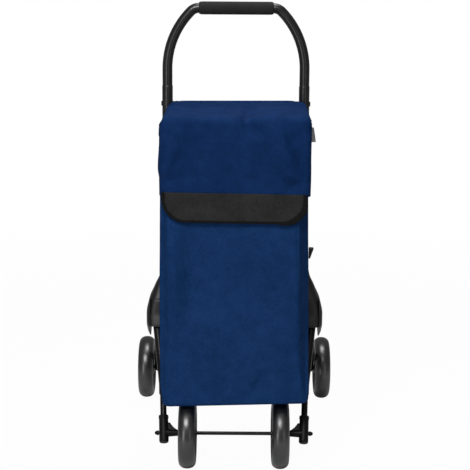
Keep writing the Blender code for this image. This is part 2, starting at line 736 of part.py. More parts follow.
def make_bag(paint):
    """The hung bag, open at the top, with a stiff board in its base."""
    levels = (BAG_BOTTOM + BAG_BASE_R, BAG_TAPER_Z, (BAG_TAPER_Z + BAG_RIM) / 2)
    turns = [math.pi / 2 * k / 4 for k in range(4)]
    rings = [bag_ring(BAG_BOTTOM + BAG_BASE_R * (1 - math.sin(t)), BAG_BASE_R * (1 - math.cos(t)))
             for t in reversed(turns[1:])]
    rings.insert(0, bag_ring(BAG_BOTTOM, BAG_BASE_R))
    rings += [bag_ring(z, 0) for z in levels]
    rings += [bag_ring(BAG_RIM, 0), bag_ring(BAG_RIM, BAG_WALL)]
    rings += [bag_ring(z, BAG_WALL) for z in reversed(levels)]
    low = BAG_BOTTOM + BAG_WALL
    rings.append(bag_ring(low, BAG_BASE_R))
    piece("bag_body", rings_mesh(rings), paint["bag"])

    board_low = low + GAP
    board = [bag_ring(board_low, BAG_BASE_R + BOARD_INSET),
             bag_ring(board_low + BOARD_T, BAG_BASE_R + BOARD_INSET)]
    piece("bag_base_board", rings_mesh(board), paint["board"])
    make_hoop(paint)
    make_ties(paint)
    make_tab(paint)


def make_hoop(paint):
    """The rod that holds the bag's mouth open, in clips on the uprights."""
    shift = leaned(HOOP_Z)
    front = BAG_FRONT_Y + BAG_WALL + HOOP_INSET + shift
    clip_y = leaned(CLIP_Z)
    end = clip_y - UPRIGHT_D / 2
    right = [(HOOP_ARM_X, end), (HOOP_ARM_X, front + HOOP_CORNER_R)]
    right += arc((HOOP_ARM_X - HOOP_CORNER_R, front + HOOP_CORNER_R), HOOP_CORNER_R, 0, -math.pi / 2, 6)[1:]
    outline = right + [(-x, y) for x, y in reversed(right)]
    piece("mouth_hoop", rod([(x, y, HOOP_Z) for x, y in outline], HOOP_D, 10), paint["bright"])
    outer = UPRIGHT_D + 2 * CLIP_WALL + 2 * GAP
    for word, side in SIDES:
        axis = [(side * UPRIGHT_X, leaned(z), z) for z in (CLIP_Z - CLIP_H / 2, CLIP_Z + CLIP_H / 2)]
        clip = piece(f"hoop_clip_{word}", rod(axis, outer, 16), paint["plastic"])
        lug_x = across(side, HOOP_ARM_X - CLIP_LUG / 2, HOOP_ARM_X + CLIP_LUG / 2)
        low = (lug_x[0], end - CLIP_LUG, HOOP_Z - CLIP_LUG / 2)
        high = (lug_x[1], clip_y - UPRIGHT_D / 4, CLIP_Z)
        join(clip, block(low, high))
        reach = [(side * UPRIGHT_X, leaned(z), z) for z in (HOOP_Z - CLIP_LUG, CLIP_Z + CLIP_LUG)]
        cut(clip, rod(reach, UPRIGHT_D + 2 * GAP, 16))
        hole = [(side * HOOP_ARM_X, y, HOOP_Z) for y in (end - 2 * CLIP_LUG, end + GAP)]
        cut(clip, rod(hole, HOOP_D + 2 * GAP, 12))


def make_ties(paint):
    """Webbing loops that hold the bag's back to the uprights; the right one ends in a buckle."""
    outer = UPRIGHT_D + 2 * BAG_REAR_GAP - 2 * GAP
    for word, side in SIDES:
        axis = [(side * UPRIGHT_X, leaned(z), z) for z in (STRAP_Z - STRAP_H / 2, STRAP_Z + STRAP_H / 2)]
        loop = tube(axis, outer, UPRIGHT_D + 2 * GAP, 16)
        strap = piece(f"tie_strap_{word}", loop, paint["webbing"])
        join(strap, webbing_tail(side))
    start = UPRIGHT_X + outer / 2 + GAP
    back = leaned(STRAP_Z)
    rings = []
    for rise, out in BUCKLE_FORM:
        plan = oval_plan(start, start + BUCKLE_OUT * out, back, BUCKLE_W / 2, 12)
        rings.append([Vector((x, y, STRAP_Z + BUCKLE_H * rise)) for x, y in plan])
    piece("tie_buckle_right", rings_mesh(rings), paint["plastic"])


def webbing_tail(side):
    """The strap's flat end, sewn to the back of the bag beside its upright."""
    near, far = across(side, UPRIGHT_X, UPRIGHT_X - STRAP_TAIL)
    rings = []
    for z in (STRAP_Z - STRAP_H / 2, STRAP_Z + STRAP_H / 2):
        front = BAG_REAR_Y + GAP + leaned(z)
        back = front + STRAP_T
        rings.append([Vector((x, y, z)) for x, y in ((near, front), (far, front), (far, back), (near, back))])
    return rings_mesh(rings)


def make_tab(paint):
    """A folded ribbon tab, sewn into the right side seam and flaring downwards."""
    y = BAG_FRONT_Y + TAB_FROM_FRONT + leaned(TAB_TOP_Z)
    start = BAG_HALF_W + GAP
    rings = []
    for drop, share in TAB_FORM:
        z = TAB_TOP_Z - TAB_H * drop
        end = start + TAB_W * share
        plan = ((start, 0), (end, 0), (end, TAB_T), (start, TAB_T))
        rings.append([Vector((x, y + deep, z)) for x, deep in plan])
    piece("side_tab", rings_mesh(rings), paint["tab"])


def lid_section(half_width, from_turn, to_turn, low_z=None, rear_y=None):
    """Side view of a lid panel: a flat top, the rounded front edge and the hanging front, as needed."""
    centre = (LID_FRONT_Y + LID_FRONT_R, LID_TOP_Z - LID_FRONT_R)
    outside = arc(centre, LID_FRONT_R, from_turn, to_turn, 4)
    inside = arc(centre, LID_FRONT_R - LID_T, to_turn, from_turn, 4)
    if rear_y is not None:
        outside.insert(0, (rear_y, LID_TOP_Z))
        inside.append((rear_y, LID_TOP_Z - LID_T))
    if low_z is not None:
        outside.append((LID_FRONT_Y, low_z))
        inside.insert(0, (LID_FRONT_Y + LID_T, low_z))
    outline = [(y + leaned(z), z) for y, z in outside + inside]
    return prism(outline, -half_width, half_width)


def make_lid(paint, lid, flap):
    quarter = math.pi / 2
    split = quarter + FLAP_SPLIT
    seam = GAP / LID_FRONT_R
    top = lid_section(LID_HALF_W, quarter, split - seam, rear_y=BAG_REAR_Y)
    panel = piece("lid_top", top, paint["bag"], lid)
    for _, side in SIDES:
        join(panel, lid_skirt(side))
    drop = lid_section(LID_HALF_W, split + seam, 2 * quarter, low_z=FLAP_SEAM_Z + GAP)
    piece("flap_front", drop, paint["bag"], flap)
    outline = [(PANEL_HALF_W, FLAP_SEAM_Z - GAP), (-PANEL_HALF_W, FLAP_SEAM_Z - GAP)]
    corner_z = FLAP_END_Z + PANEL_CORNER_R
    left = (-PANEL_HALF_W + PANEL_CORNER_R, corner_z)
    right = (PANEL_HALF_W - PANEL_CORNER_R, corner_z)
    outline += arc(left, PANEL_CORNER_R, math.pi, 1.5 * math.pi, 6)
    outline += arc(right, PANEL_CORNER_R, 1.5 * math.pi, 2 * math.pi, 6)
    faces = []
    for y in (BAG_FRONT_Y - GAP - PANEL_T, BAG_FRONT_Y - GAP):
        faces.append([Vector((x, y + leaned(z), z)) for x, z in outline])
    piece("flap_panel", rings_mesh(faces), paint["panel"], flap)


def lid_skirt(side):
    """The lid's short side wall, which stands on the bag's rim between the hoop clips and the front edge."""
    low = BAG_RIM + GAP
    high = LID_TOP_Z - LID_T / 2
    rear = BAG_REAR_Y - CLIP_LUG
    turn_y = LID_FRONT_Y + LID_FRONT_R
    front = turn_y - LID_FRONT_R / 2
    outline = [(rear, low), (front, low), (front, low + LID_FRONT_R / 2), (turn_y, high), (rear, high)]
    leaning = [(y + leaned(z), z) for y, z in outline]
    return prism(leaning, *across(side, LID_HALF_W - BAG_WALL, LID_HALF_W - GAP))


def lid_hinge_place():
    return Vector((0, BAG_REAR_Y + leaned(LID_TOP_Z), LID_TOP_Z))


def flap_hinge_place():
    turn = math.pi / 2 + FLAP_SPLIT
    y = LID_FRONT_Y + LID_FRONT_R * (1 + math.cos(turn))
    z = LID_TOP_Z - LID_FRONT_R * (1 - math.sin(turn))
    return Vector((0, y + leaned(z), z))


def main():
    clear_scene()
    paint = {
        "steel": material("black_coated_steel", (0.012, 0.012, 0.013), 0.38, 0.3),
        "bright": material("zinc_plated_steel", (0.42, 0.42, 0.43), 0.35, 1.0),
        "plastic": material("black_moulded_plastic", (0.011, 0.011, 0.011), 0.5),
        "button": material("grey_moulded_plastic", (0.09, 0.09, 0.09), 0.45),
        "rim": material("black_wheel_rim", (0.010, 0.010, 0.011), 0.45),
        "tyre": material("black_soft_tyre", (0.018, 0.019, 0.021), 0.6),
        "foam": material("black_foam_grip", (0.012, 0.013, 0.012), 0.85),
        "bag": material("navy_bag_fabric", (0.008, 0.032, 0.100), 0.7),
        "panel": material("black_flap_panel", (0.016, 0.017, 0.018), 0.6),
        "webbing": material("black_webbing", (0.012, 0.012, 0.013), 0.9),
        "tab": material("grey_ribbon_tab", (0.11, 0.11, 0.12), 0.8),
        "board": material("grey_base_board", (0.05, 0.05, 0.05), 0.7),
    }
    front_pair = body("front_legs_axis", (0, FRONT_PIVOT_Y, PIVOT_Z))
    rear_pair = body("rear_legs_axis", (0, REAR_PIVOT_Y, PIVOT_Z))
    lid = body("lid_axis", lid_hinge_place())
    flap = body("flap_axis", flap_hinge_place(), lid)
    make_handle(paint)
    make_hinges(paint)
    make_pivots(paint, front_pair, rear_pair)
    make_front_legs(paint, front_pair)
    make_rear_legs(paint, rear_pair)
    for word, side in SIDES:
        make_wheel(f"front_wheel_{word}", side * FRONT_TRACK / 2, FRONT_Y, front_pair, paint)
        make_wheel(f"rear_wheel_{word}", side * REAR_TRACK / 2, REAR_Y, rear_pair, paint)
    make_bag(paint)
    make_lid(paint, lid, flap)


main()
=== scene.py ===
import math

import bmesh
import bpy
from mathutils import Matrix, Vector, noise


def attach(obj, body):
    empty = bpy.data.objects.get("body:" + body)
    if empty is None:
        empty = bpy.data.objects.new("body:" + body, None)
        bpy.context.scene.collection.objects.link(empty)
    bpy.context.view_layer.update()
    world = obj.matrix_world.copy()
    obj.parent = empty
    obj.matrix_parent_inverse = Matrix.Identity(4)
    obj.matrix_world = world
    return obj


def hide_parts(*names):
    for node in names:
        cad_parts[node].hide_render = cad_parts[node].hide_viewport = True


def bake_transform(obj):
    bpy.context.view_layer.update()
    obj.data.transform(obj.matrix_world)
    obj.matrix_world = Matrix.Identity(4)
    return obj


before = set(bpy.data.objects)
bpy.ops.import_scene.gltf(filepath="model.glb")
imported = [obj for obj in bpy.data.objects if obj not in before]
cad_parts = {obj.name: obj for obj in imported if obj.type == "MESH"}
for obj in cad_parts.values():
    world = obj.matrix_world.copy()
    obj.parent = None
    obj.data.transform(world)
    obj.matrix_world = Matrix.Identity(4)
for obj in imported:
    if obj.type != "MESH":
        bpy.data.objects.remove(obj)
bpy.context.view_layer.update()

# The studio: a round pale floor that fades into a white surround and is nearly see-through to the camera.
# A large soft box hangs high in front, with a narrow strip at each side and a weaker box behind.
# The camera is higher than the handle and tipped down.
CAMERA_PLACE = (0.0, -2.718, 1.145)
CAMERA_DROP = math.radians(13.8)
CAMERA_ROLL = math.radians(0.35)
FOCAL_PIXELS = 1212
PICTURE_PIXELS = 470
FLOOR_R = 3.0


def shown(name, data):
    """A new object in the scene for this data."""
    made = bpy.data.objects.new(name, data)
    bpy.context.scene.collection.objects.link(made)
    return made


camera_data = bpy.data.cameras.new("camera")
camera_data.sensor_width = 36
camera_data.lens = FOCAL_PIXELS / PICTURE_PIXELS * camera_data.sensor_width
camera = shown("camera", camera_data)
camera.matrix_world = (Matrix.Translation(CAMERA_PLACE)
                       @ Matrix.Rotation(math.pi / 2 - CAMERA_DROP, 4, "X")
                       @ Matrix.Rotation(CAMERA_ROLL, 4, "Z"))
bpy.context.scene.camera = camera
bpy.context.scene.view_settings.view_transform = "Standard"


class Field:
    """Something that changes over a surface: one socket of the material being made."""

    def __init__(self, tree, socket=None):
        self.tree = tree
        self.socket = socket

    def node(self, kind, settings=(), out=0, **sockets):
        """Adds a node: its settings first, then the values or links of its named or numbered sockets."""
        made = self.tree.nodes.new(kind)
        for key, value in dict(settings).items():
            setattr(made, key, value)
        for key, value in sockets.items():
            plug = made.inputs[int(key[1:])] if key[0] == "_" else made.inputs[key.replace("_", " ")]
            self.feed(plug, value)
        return Field(self.tree, made.outputs[out])

    def feed(self, plug, value):
        """Links a field to a socket, or sets the socket to a plain value."""
        if isinstance(value, Field):
            self.tree.links.new(value.socket, plug)
        else:
            plug.default_value = value

    def math(self, operation, first, second=0.0):
        return self.node("ShaderNodeMath", {"operation": operation}, _0=first, _1=second)

    def __add__(self, other):
        return self.math("ADD", self, other)

    __radd__ = __add__

    def __sub__(self, other):
        return self.math("SUBTRACT", self, other)

    def __rsub__(self, other):
        return self.math("SUBTRACT", other, self)

    def __mul__(self, other):
        return self.math("MULTIPLY", self, other)

    __rmul__ = __mul__

    def wave(self, length):
        """A ripple from -1 to 1 with this wave length."""
        return self.math("SINE", self * (2 * math.pi / length))

    def clear(self, low, high):
        """0 below low, 1 above high and a soft step between."""
        return self.node("ShaderNodeMapRange", {"interpolation_type": "SMOOTHSTEP"},
                         Value=self, From_Min=low, From_Max=high)

    def tint(self, first, second):
        """A colour that goes from the first to the second as this goes from 0 to 1."""
        first, second = [c if isinstance(c, Field) else (*c, 1) for c in (first, second)]
        return self.node("ShaderNodeMix", {"data_type": "RGBA"}, 2, _0=self, _6=first, _7=second)

    def spot(self):
        """Where a point lies on its piece, in metres."""
        return self.node("ShaderNodeTexCoord", out=3)

    def split(self):
        """The x, y and z of a place."""
        return [self.node("ShaderNodeSeparateXYZ", out=i, Vector=self) for i in range(3)]

    def cloth(self):
        """Where a point lies on its cut cloth, in metres: along the weft and along the warp."""
        return self.node("ShaderNodeAttribute", {"attribute_name": "cut"}, 1).split()[:2]

    def mottle(self, spot, size, detail=3.0):
        """Soft patches of about this size, from 0 to 1."""
        return self.node("ShaderNodeTexNoise", Vector=spot, Scale=1 / size, Detail=detail)


def finish(name, **fixed):
    """A new material: its shader with the fixed values set, and an empty field to make the rest with."""
    made = bpy.data.materials.new(name)
    made.use_nodes = True
    shader = made.node_tree.nodes["Principled BSDF"]
    for key, value in fixed.items():
        shader.inputs[key.replace("_", " ")].default_value = value
    return made, shader, Field(made.node_tree)


def skin(field, shader, colour, roughness, height, depth):
    """Gives a shader its colour, its roughness and a surface relief of this depth in metres."""
    field.feed(shader.inputs["Base Color"], colour)
    field.feed(shader.inputs["Roughness"], roughness)
    bump = field.node("ShaderNodeBump", Strength=1.0, Distance=depth, Height=height)
    field.feed(shader.inputs["Normal"], bump)


floor_mesh = bmesh.new()
bmesh.ops.create_circle(floor_mesh, cap_ends=True, segments=96, radius=FLOOR_R)
floor_data = bpy.data.meshes.new("floor")
floor_mesh.to_mesh(floor_data)
floor = shown("floor", floor_data)
floor_finish, floor_shader, field = finish("floor_white", Base_Color=(0.86, 0.86, 0.86, 1), Roughness=0.6)
along, deep, _ = field.spot().split()
from_middle = field.math("SQRT", along * along + deep * deep)
seen = field.node("ShaderNodeLightPath", out=0)
bare = Field(field.tree, floor_shader.outputs[0])
see_through = field.node("ShaderNodeBsdfTransparent")
lit = field.node("ShaderNodeMixShader", _0=seen * 0.97, _1=bare, _2=see_through)
fade = from_middle.clear(0.8, FLOOR_R * 0.9)
faded = field.node("ShaderNodeMixShader", _0=fade, _1=lit, _2=see_through)
field.feed(field.tree.nodes["Material Output"].inputs["Surface"], faded)
floor_data.materials.append(floor_finish)

world = bpy.data.worlds.new("surround")
bpy.context.scene.world = world
world.use_nodes = True
field = Field(world.node_tree)
direct = field.node("ShaderNodeLightPath", out=0)
glossy = field.node("ShaderNodeLightPath", out=3)
through = field.node("ShaderNodeLightPath", out=6)
open_air = field.math("MINIMUM", direct + glossy * 0.12 + through, 1.0)
field.feed(world.node_tree.nodes["Background"].inputs["Strength"], open_air * 0.88 + 0.12)
world.node_tree.nodes["Background"].inputs["Color"].default_value = (1, 1, 1, 1)


def soft_box(name, place, aim, width, height, watts):
    """A lamp with a soft oblong face, turned to what it lights."""
    data = bpy.data.lights.new(name, "AREA")
    data.shape = "RECTANGLE"
    data.size = width
    data.size_y = height
    data.energy = watts
    lamp = shown(name, data)
    lamp.location = place
    lamp.rotation_euler = (Vector(aim) - Vector(place)).to_track_quat("-Z", "Y").to_euler()


soft_box("key_light", (-0.4, -1.75, 2.4), (0, -0.1, 0.5), 1.1, 0.9, 44)
soft_box("left_strip", (-1.2, -2.3, 0.75), (0, 0, 0.6), 0.3, 1.4, 10)
soft_box("right_strip", (1.2, -2.3, 0.75), (0, 0, 0.6), 0.3, 1.4, 3)
soft_box("top_light", (0.1, 0.3, 2.4), (0, 0, 0.6), 0.9, 0.9, 20)


# The wheels: four alike, each a soft solid tyre pressed over a moulded rim with five spokes.
# A plain bush turns on the axle. The tyres are smooth and nearly half round.
AXLE_Y = 0.214
AXLE_Z = 0.0775
FRONT_HALF_TRACK = 0.1024
REAR_HALF_TRACK = 0.2224
WHEEL_R = 0.0775
TYRE_HALF_W = 0.019
TYRE_SEAT_R = 0.0563
TREAD_BASE_R = 0.0622
RIM_R = 0.0560
HUB_R = 0.0170
SPOKES = 5
WHEEL_STEPS = 96
SIDES = (("left", -1), ("right", 1))


def add_rings(mesh, rings, closed=False):
    """Faces between successive rings of points, added to a mesh."""
    loops = [[mesh.verts.new(point) for point in ring] for ring in rings]
    pairs = list(zip(loops, loops[1:]))
    if closed:
        pairs.append((loops[-1], loops[0]))
    for low, high in pairs:
        for i in range(len(low)):
            j = (i + 1) % len(low)
            mesh.faces.new((low[i], low[j], high[j], high[i]))
    if not closed:
        mesh.faces.new(loops[0][::-1])
        mesh.faces.new(loops[-1])


def made_piece(name, mesh, sharp=40):
    """An object from a mesh that is in its place, smooth except where it turns sharply."""
    bmesh.ops.recalc_face_normals(mesh, faces=mesh.faces)
    data = bpy.data.meshes.new(name)
    mesh.to_mesh(data)
    mesh.free()
    data.shade_smooth()
    data.set_sharp_from_angle(angle=math.radians(sharp))
    return shown(name, data)


def ringed(name, rings, sharp=40, closed=False):
    """An object with one skin over its rings of points."""
    mesh = bmesh.new()
    add_rings(mesh, rings, closed)
    return made_piece(name, mesh, sharp)


def dress(piece, look, slot, body, *nodes):
    """Gives a made piece its finish, the body that carries it and the solids that it stands for."""
    piece.data.materials.append(look)
    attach(piece, body)
    if nodes:
        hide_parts(*nodes)


def keep(look, *names):
    """Gives solids that stay in view their finish."""
    for name in names:
        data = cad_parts[name].data
        data.materials.clear()
        data.materials.append(look)


def turned(profile, centre, steps=WHEEL_STEPS):
    """A (radius, x) outline turned about the X direction."""
    rings = []
    for k in range(steps):
        turn = 2 * math.pi * k / steps
        out = Vector((0, math.cos(turn), math.sin(turn)))
        rings.append([Vector(centre) + Vector((x, 0, 0)) + out * r for r, x in profile])
    return rings


def bent(value, power):
    """A sine or cosine raised to a power with its sign kept, which makes a round squarer."""
    return math.copysign(abs(value) ** power, value)


def oval(low_x, high_x, middle_y, half_y, squareness, count=48):
    """A soft-cornered oblong, as points in its plane."""
    points = []
    for k in range(count):
        t = 2 * math.pi * (k + 0.5) / count
        c, s = math.cos(t), math.sin(t)
        points.append(((low_x + high_x) / 2 + (high_x - low_x) / 2 * bent(c, squareness),
                       middle_y + half_y * bent(s, squareness)))
    return points


def tyre_outline():
    """Nearly half round tread, with walls that draw in down to the rim."""
    points = []
    for k in range(25):
        turn = math.pi * k / 24
        x = bent(math.cos(turn), 0.92) * TYRE_HALF_W
        points.append((TREAD_BASE_R + (WHEEL_R - TREAD_BASE_R) * math.sin(turn) ** 0.92, x))
    wall = [(0.0585, -0.0168), (TYRE_SEAT_R, -0.0143), (TYRE_SEAT_R, 0.0143), (0.0585, 0.0168)]
    return points + wall


def rim_mesh(centre):
    """Rim, hub and spokes of one moulding."""
    mesh = bmesh.new()
    lip = [(RIM_R, 0.0125), (0.0552, 0.0140), (0.0490, 0.0140), (0.0478, 0.0128), (0.0468, 0.0060)]
    add_rings(mesh, turned(lip + [(r, -x) for r, x in reversed(lip)], centre), closed=True)
    hub = [(HUB_R + 0.0015, 0.0060), (HUB_R, 0.0165), (HUB_R - 0.0012, 0.0180), (0.0072, 0.0180)]
    add_rings(mesh, turned(hub + [(r, -x) for r, x in reversed(hub)], centre), closed=True)
    spoke = ((0.0160, 0.0085, 0.0085), (0.0220, 0.0062, 0.0070), (0.0320, 0.0055, 0.0060),
             (0.0420, 0.0064, 0.0062), (0.0485, 0.0105, 0.0064))
    for k in range(SPOKES):
        turn = 2 * math.pi * (k + 0.5) / SPOKES + math.pi / 2
        out = Vector((0, math.cos(turn), math.sin(turn)))
        side = Vector((0, -math.sin(turn), math.cos(turn)))
        rings = []
        for r, half_w, half_t in spoke:
            middle = Vector(centre) + out * r
            section = oval(-half_w, half_w, 0, half_t, 0.6, 12)
            rings.append([middle + side * across + Vector((thick, 0, 0)) for across, thick in section])
        add_rings(mesh, rings)
    return mesh


tyre_look, shader, field = finish("soft_black_tyre", Specular_IOR_Level=1.0)
spot = field.spot()
dust = field.mottle(spot, 0.02).clear(0.35, 0.75)
colour = dust.tint((0.0030, 0.0031, 0.0033), (0.0070, 0.0071, 0.0073))
skin(field, shader, colour, 0.30 + dust * 0.05, field.mottle(spot, 0.0012, 2.0), 0.00002)

rim_look, shader, field = finish("black_rim_moulding", Specular_IOR_Level=0.25)
spot = field.spot()
grain = field.mottle(spot, 0.0009, 2.0)
patches = field.mottle(spot, 0.03)
colour = patches.tint((0.0035, 0.0035, 0.0038), (0.0075, 0.0075, 0.0080))
skin(field, shader, colour, 0.38 + grain * 0.14, grain, 0.00005)

for end, half_track, axle_y in (("front", FRONT_HALF_TRACK, -AXLE_Y), ("rear", REAR_HALF_TRACK, AXLE_Y)):
    for word, side in SIDES:
        wheel = f"{end}_wheel_{word}"
        centre = (side * half_track, axle_y, AXLE_Z)
        tyre = ringed(f"{wheel}_soft_tyre", turned(tyre_outline(), centre), closed=True)
        dress(tyre, tyre_look, "tyre", wheel, f"{wheel}_tyre")
        rim = made_piece(f"{wheel}_spoked_rim", rim_mesh(centre), 32)
        dress(rim, rim_look, "rim_black", wheel, f"{wheel}_rim")
        keep(rim_look, f"{wheel}_bush")


# The front legs: a wide black tube from each hinge down to a slight knee, and a slim tube that is fixed in
# its lower end and runs on to the foot. Both are steel with a dull black coat.
PIVOT_Y = 0.0186
PIVOT_Z = 0.305
LEG_LENGTH = math.hypot(AXLE_Y - PIVOT_Y, PIVOT_Z - AXLE_Z)
FRONT_FOOT_X = 0.155
KNEE_RUN = 0.114
KNEE_OUT = 0.0057
KNEE_X = 0.1607
HINGE_OUT = 0.0235
WIDE_TUBE_R = 0.009
SLIM_TUBE_R = 0.007


def leg_point(end, run, x):
    """The point this far up a front (-1) or rear (1) leg from its axle, at this sideways place."""
    share = run / LEG_LENGTH
    y = end * (AXLE_Y + (PIVOT_Y - AXLE_Y) * share)
    return Vector((x, y, AXLE_Z + (PIVOT_Z - AXLE_Z) * share))


def front_leg_x(run):
    """How far out a front leg lies this far up from its axle, with its slight knee."""
    if run <= KNEE_RUN:
        return FRONT_FOOT_X + KNEE_OUT * run / KNEE_RUN
    return KNEE_X + HINGE_OUT * (run - KNEE_RUN) / (LEG_LENGTH - KNEE_RUN)


def swept(path, radii, sides=28):
    """Round sections square to a path, turned as little as possible from one to the next."""
    points = [Vector(point) for point in path]
    rings = []
    sideways = None
    for i, point in enumerate(points):
        ahead = (points[min(i + 1, len(points) - 1)] - points[max(i - 1, 0)]).normalized()
        if sideways is None:
            sideways = ahead.orthogonal().normalized()
        sideways = (sideways - ahead * sideways.dot(ahead)).normalized()
        other = ahead.cross(sideways)
        radius = radii[i] if isinstance(radii, (list, tuple)) else radii
        turns = [2 * math.pi * k / sides for k in range(sides)]
        rings.append([point + radius * (sideways * math.cos(t) + other * math.sin(t)) for t in turns])
    return rings


def coat_finish(name, shine):
    """Black powder coat with a fine peel, rubbed duller in patches."""
    look, shader, field = finish(name, Specular_IOR_Level=shine)
    spot = field.spot()
    peel = field.mottle(spot, 0.0022, 2.0)
    rub = field.mottle(spot, 0.045).clear(0.45, 0.8)
    colour = rub.tint((0.0040, 0.0040, 0.0043), (0.0090, 0.0086, 0.0084))
    skin(field, shader, colour, 0.27 + peel * 0.08 + rub * 0.08, peel, 0.00007)
    return look


leg_look = coat_finish("dull_black_coat", 0.22)

for word, side in SIDES:
    runs = [0.090, 0.0906, 0.092] + [0.098 + 0.004 * k for k in range(9)] + [0.14, 0.18, 0.24, 0.31]
    path = [leg_point(-1, run, side * front_leg_x(run)) for run in runs]
    radii = [0.0078, 0.0086] + [WIDE_TUBE_R] * (len(runs) - 2)
    leg = ringed(f"front_leg_tube_{word}", swept(path, radii), 50)
    dress(leg, leg_look, "frame_black", "front_legs", f"front_leg_{word}")
    path = [leg_point(-1, run, side * front_leg_x(run)) for run in (0.0125, 0.05, 0.1055)]
    slim = ringed(f"front_leg_slim_tube_{word}", swept(path, SLIM_TUBE_R), 50)
    dress(slim, leg_look, "frame_black", "front_legs", f"front_leg_insert_{word}")


# The rear legs: plain steel tubes from the hinges down to the rear feet, with the same dull black coat.
# One cross tube between them keeps them square.
REAR_FOOT_X = 0.1915
REAR_DRAW_IN = 0.0060
REAR_TUBE_R = 0.008
BRACE_DROP = 0.160
BRACE_SEAT = 0.0083
BRACE_R = 0.007


def rear_leg_x(run):
    """How far out a rear leg lies this far up from its axle."""
    return REAR_FOOT_X - REAR_DRAW_IN * run / LEG_LENGTH


for word, side in SIDES:
    path = [leg_point(1, run, side * rear_leg_x(run)) for run in (0.0125, 0.08, 0.16, 0.24, 0.31)]
    leg = ringed(f"rear_leg_tube_{word}", swept(path, REAR_TUBE_R), 50)
    dress(leg, leg_look, "frame_black", "rear_legs", f"rear_leg_{word}")
brace_run = LEG_LENGTH - BRACE_DROP
brace_end = rear_leg_x(brace_run) - BRACE_SEAT
path = [leg_point(1, brace_run, x) for x in (-brace_end, -0.08, 0, 0.08, brace_end)]
brace = ringed("rear_brace_tube", swept(path, BRACE_R), 50)
dress(brace, leg_look, "frame_black", "rear_legs", "rear_cross_tube")


# The feet: black plastic mouldings pushed on the legs' ends. A round socket takes the tube, and a tapered
# boss with a web above it reaches to the wheel's hub and carries the axle.
FOOT_R = 0.0105
WEB_HALF_T = 0.0026
FRONT_HUB_FACE = 0.1212
REAR_HUB_FACE = 0.2036


def moulding_finish(name, shine):
    """Black plastic with a fine moulded grain and faint flow marks."""
    look, shader, field = finish(name, Specular_IOR_Level=shine)
    spot = field.spot()
    grain = field.mottle(spot, 0.0008, 2.0)
    flow = field.mottle(spot, 0.035)
    colour = flow.tint((0.0034, 0.0034, 0.0035), (0.0085, 0.0084, 0.0082))
    skin(field, shader, colour, 0.36 + grain * 0.14, grain, 0.00008)
    return look


foot_look = moulding_finish("dull_black_moulding", 0.14)


def foot_mesh(end, side, leg_x, hub_face, low, high):
    """Socket with a raised collar at its mouth, boss and web."""
    mesh = bmesh.new()
    runs = [low, low + 0.0003, low + 0.0015, low + 0.004, 0.0, high - 0.010, high - 0.0075, high - 0.0065,
            high - 0.0015, high - 0.0002, high]
    radii = [0.0070, 0.0088, 0.0099, FOOT_R, FOOT_R, 0.0103, 0.0103, 0.0110, 0.0110, 0.0105, 0.0098]
    path = [leg_point(end, run, side * leg_x(run)) for run in runs]
    add_rings(mesh, swept(path, radii, 36))
    centre = leg_point(end, 0, side * leg_x(0))
    reach = hub_face - leg_x(0)
    along = Vector((side * math.copysign(1, reach), 0, 0))
    places = [centre + along * abs(reach) * share for share in (0.15, 0.4, 0.75, 0.93, 0.985, 1)]
    add_rings(mesh, swept(places, [0.0092, 0.0081, 0.0071, 0.0066, 0.0062, 0.0054], 32))
    if abs(reach) < 2 * FOOT_R:
        return mesh
    up = (leg_point(end, 0.1, 0) - leg_point(end, 0, 0)).normalized()
    normal = Vector((1, 0, 0)).cross(up)
    rings = []
    for share, rise in ((0.1, 0.0240), (0.38, 0.0236), (0.5, 0.0180), (0.62, 0.0132), (0.8, 0.0088),
                        (0.92, 0.0064)):
        foot = centre + along * abs(reach) * share
        shoulder = rise - 0.0012
        section = ((-0.002, 1), (shoulder, 1), (rise, 0.4), (rise, -0.4), (shoulder, -1), (-0.002, -1))
        rings.append([foot + up * level + normal * WEB_HALF_T * thick for level, thick in section])
    add_rings(mesh, rings)
    return mesh


for word, side in SIDES:
    mesh = foot_mesh(-1, side, front_leg_x, FRONT_HUB_FACE, -0.022, 0.040)
    front = made_piece(f"front_foot_moulding_{word}", mesh, 35)
    dress(front, foot_look, "plastic_black", "front_legs", f"front_foot_{word}")
    mesh = foot_mesh(1, side, rear_leg_x, REAR_HUB_FACE, -0.010, 0.070)
    rear = made_piece(f"rear_foot_moulding_{word}", mesh, 35)
    dress(rear, foot_look, "plastic_black", "rear_legs", f"rear_foot_{word}")


# The axles: one black steel rod across the front, with zinc plated washers inside the wheels and domed
# plastic caps pushed on its ends. Each rear wheel turns on its own headed bolt, zinc plated.
AXLE_R = 0.004
FRONT_AXLE_END = 0.1663
REAR_BOLT_X = 0.2412
BOLT_LENGTH = 0.060
zinc_look, shader, field = finish("zinc_plating", Metallic=1.0)
spot = field.spot()
dull = field.mottle(spot, 0.012).clear(0.3, 0.8)
colour = dull.tint((0.050, 0.050, 0.052), (0.026, 0.026, 0.026))
skin(field, shader, colour, 0.28 + dull * 0.2, field.mottle(spot, 0.0006, 2.0), 0.00002)

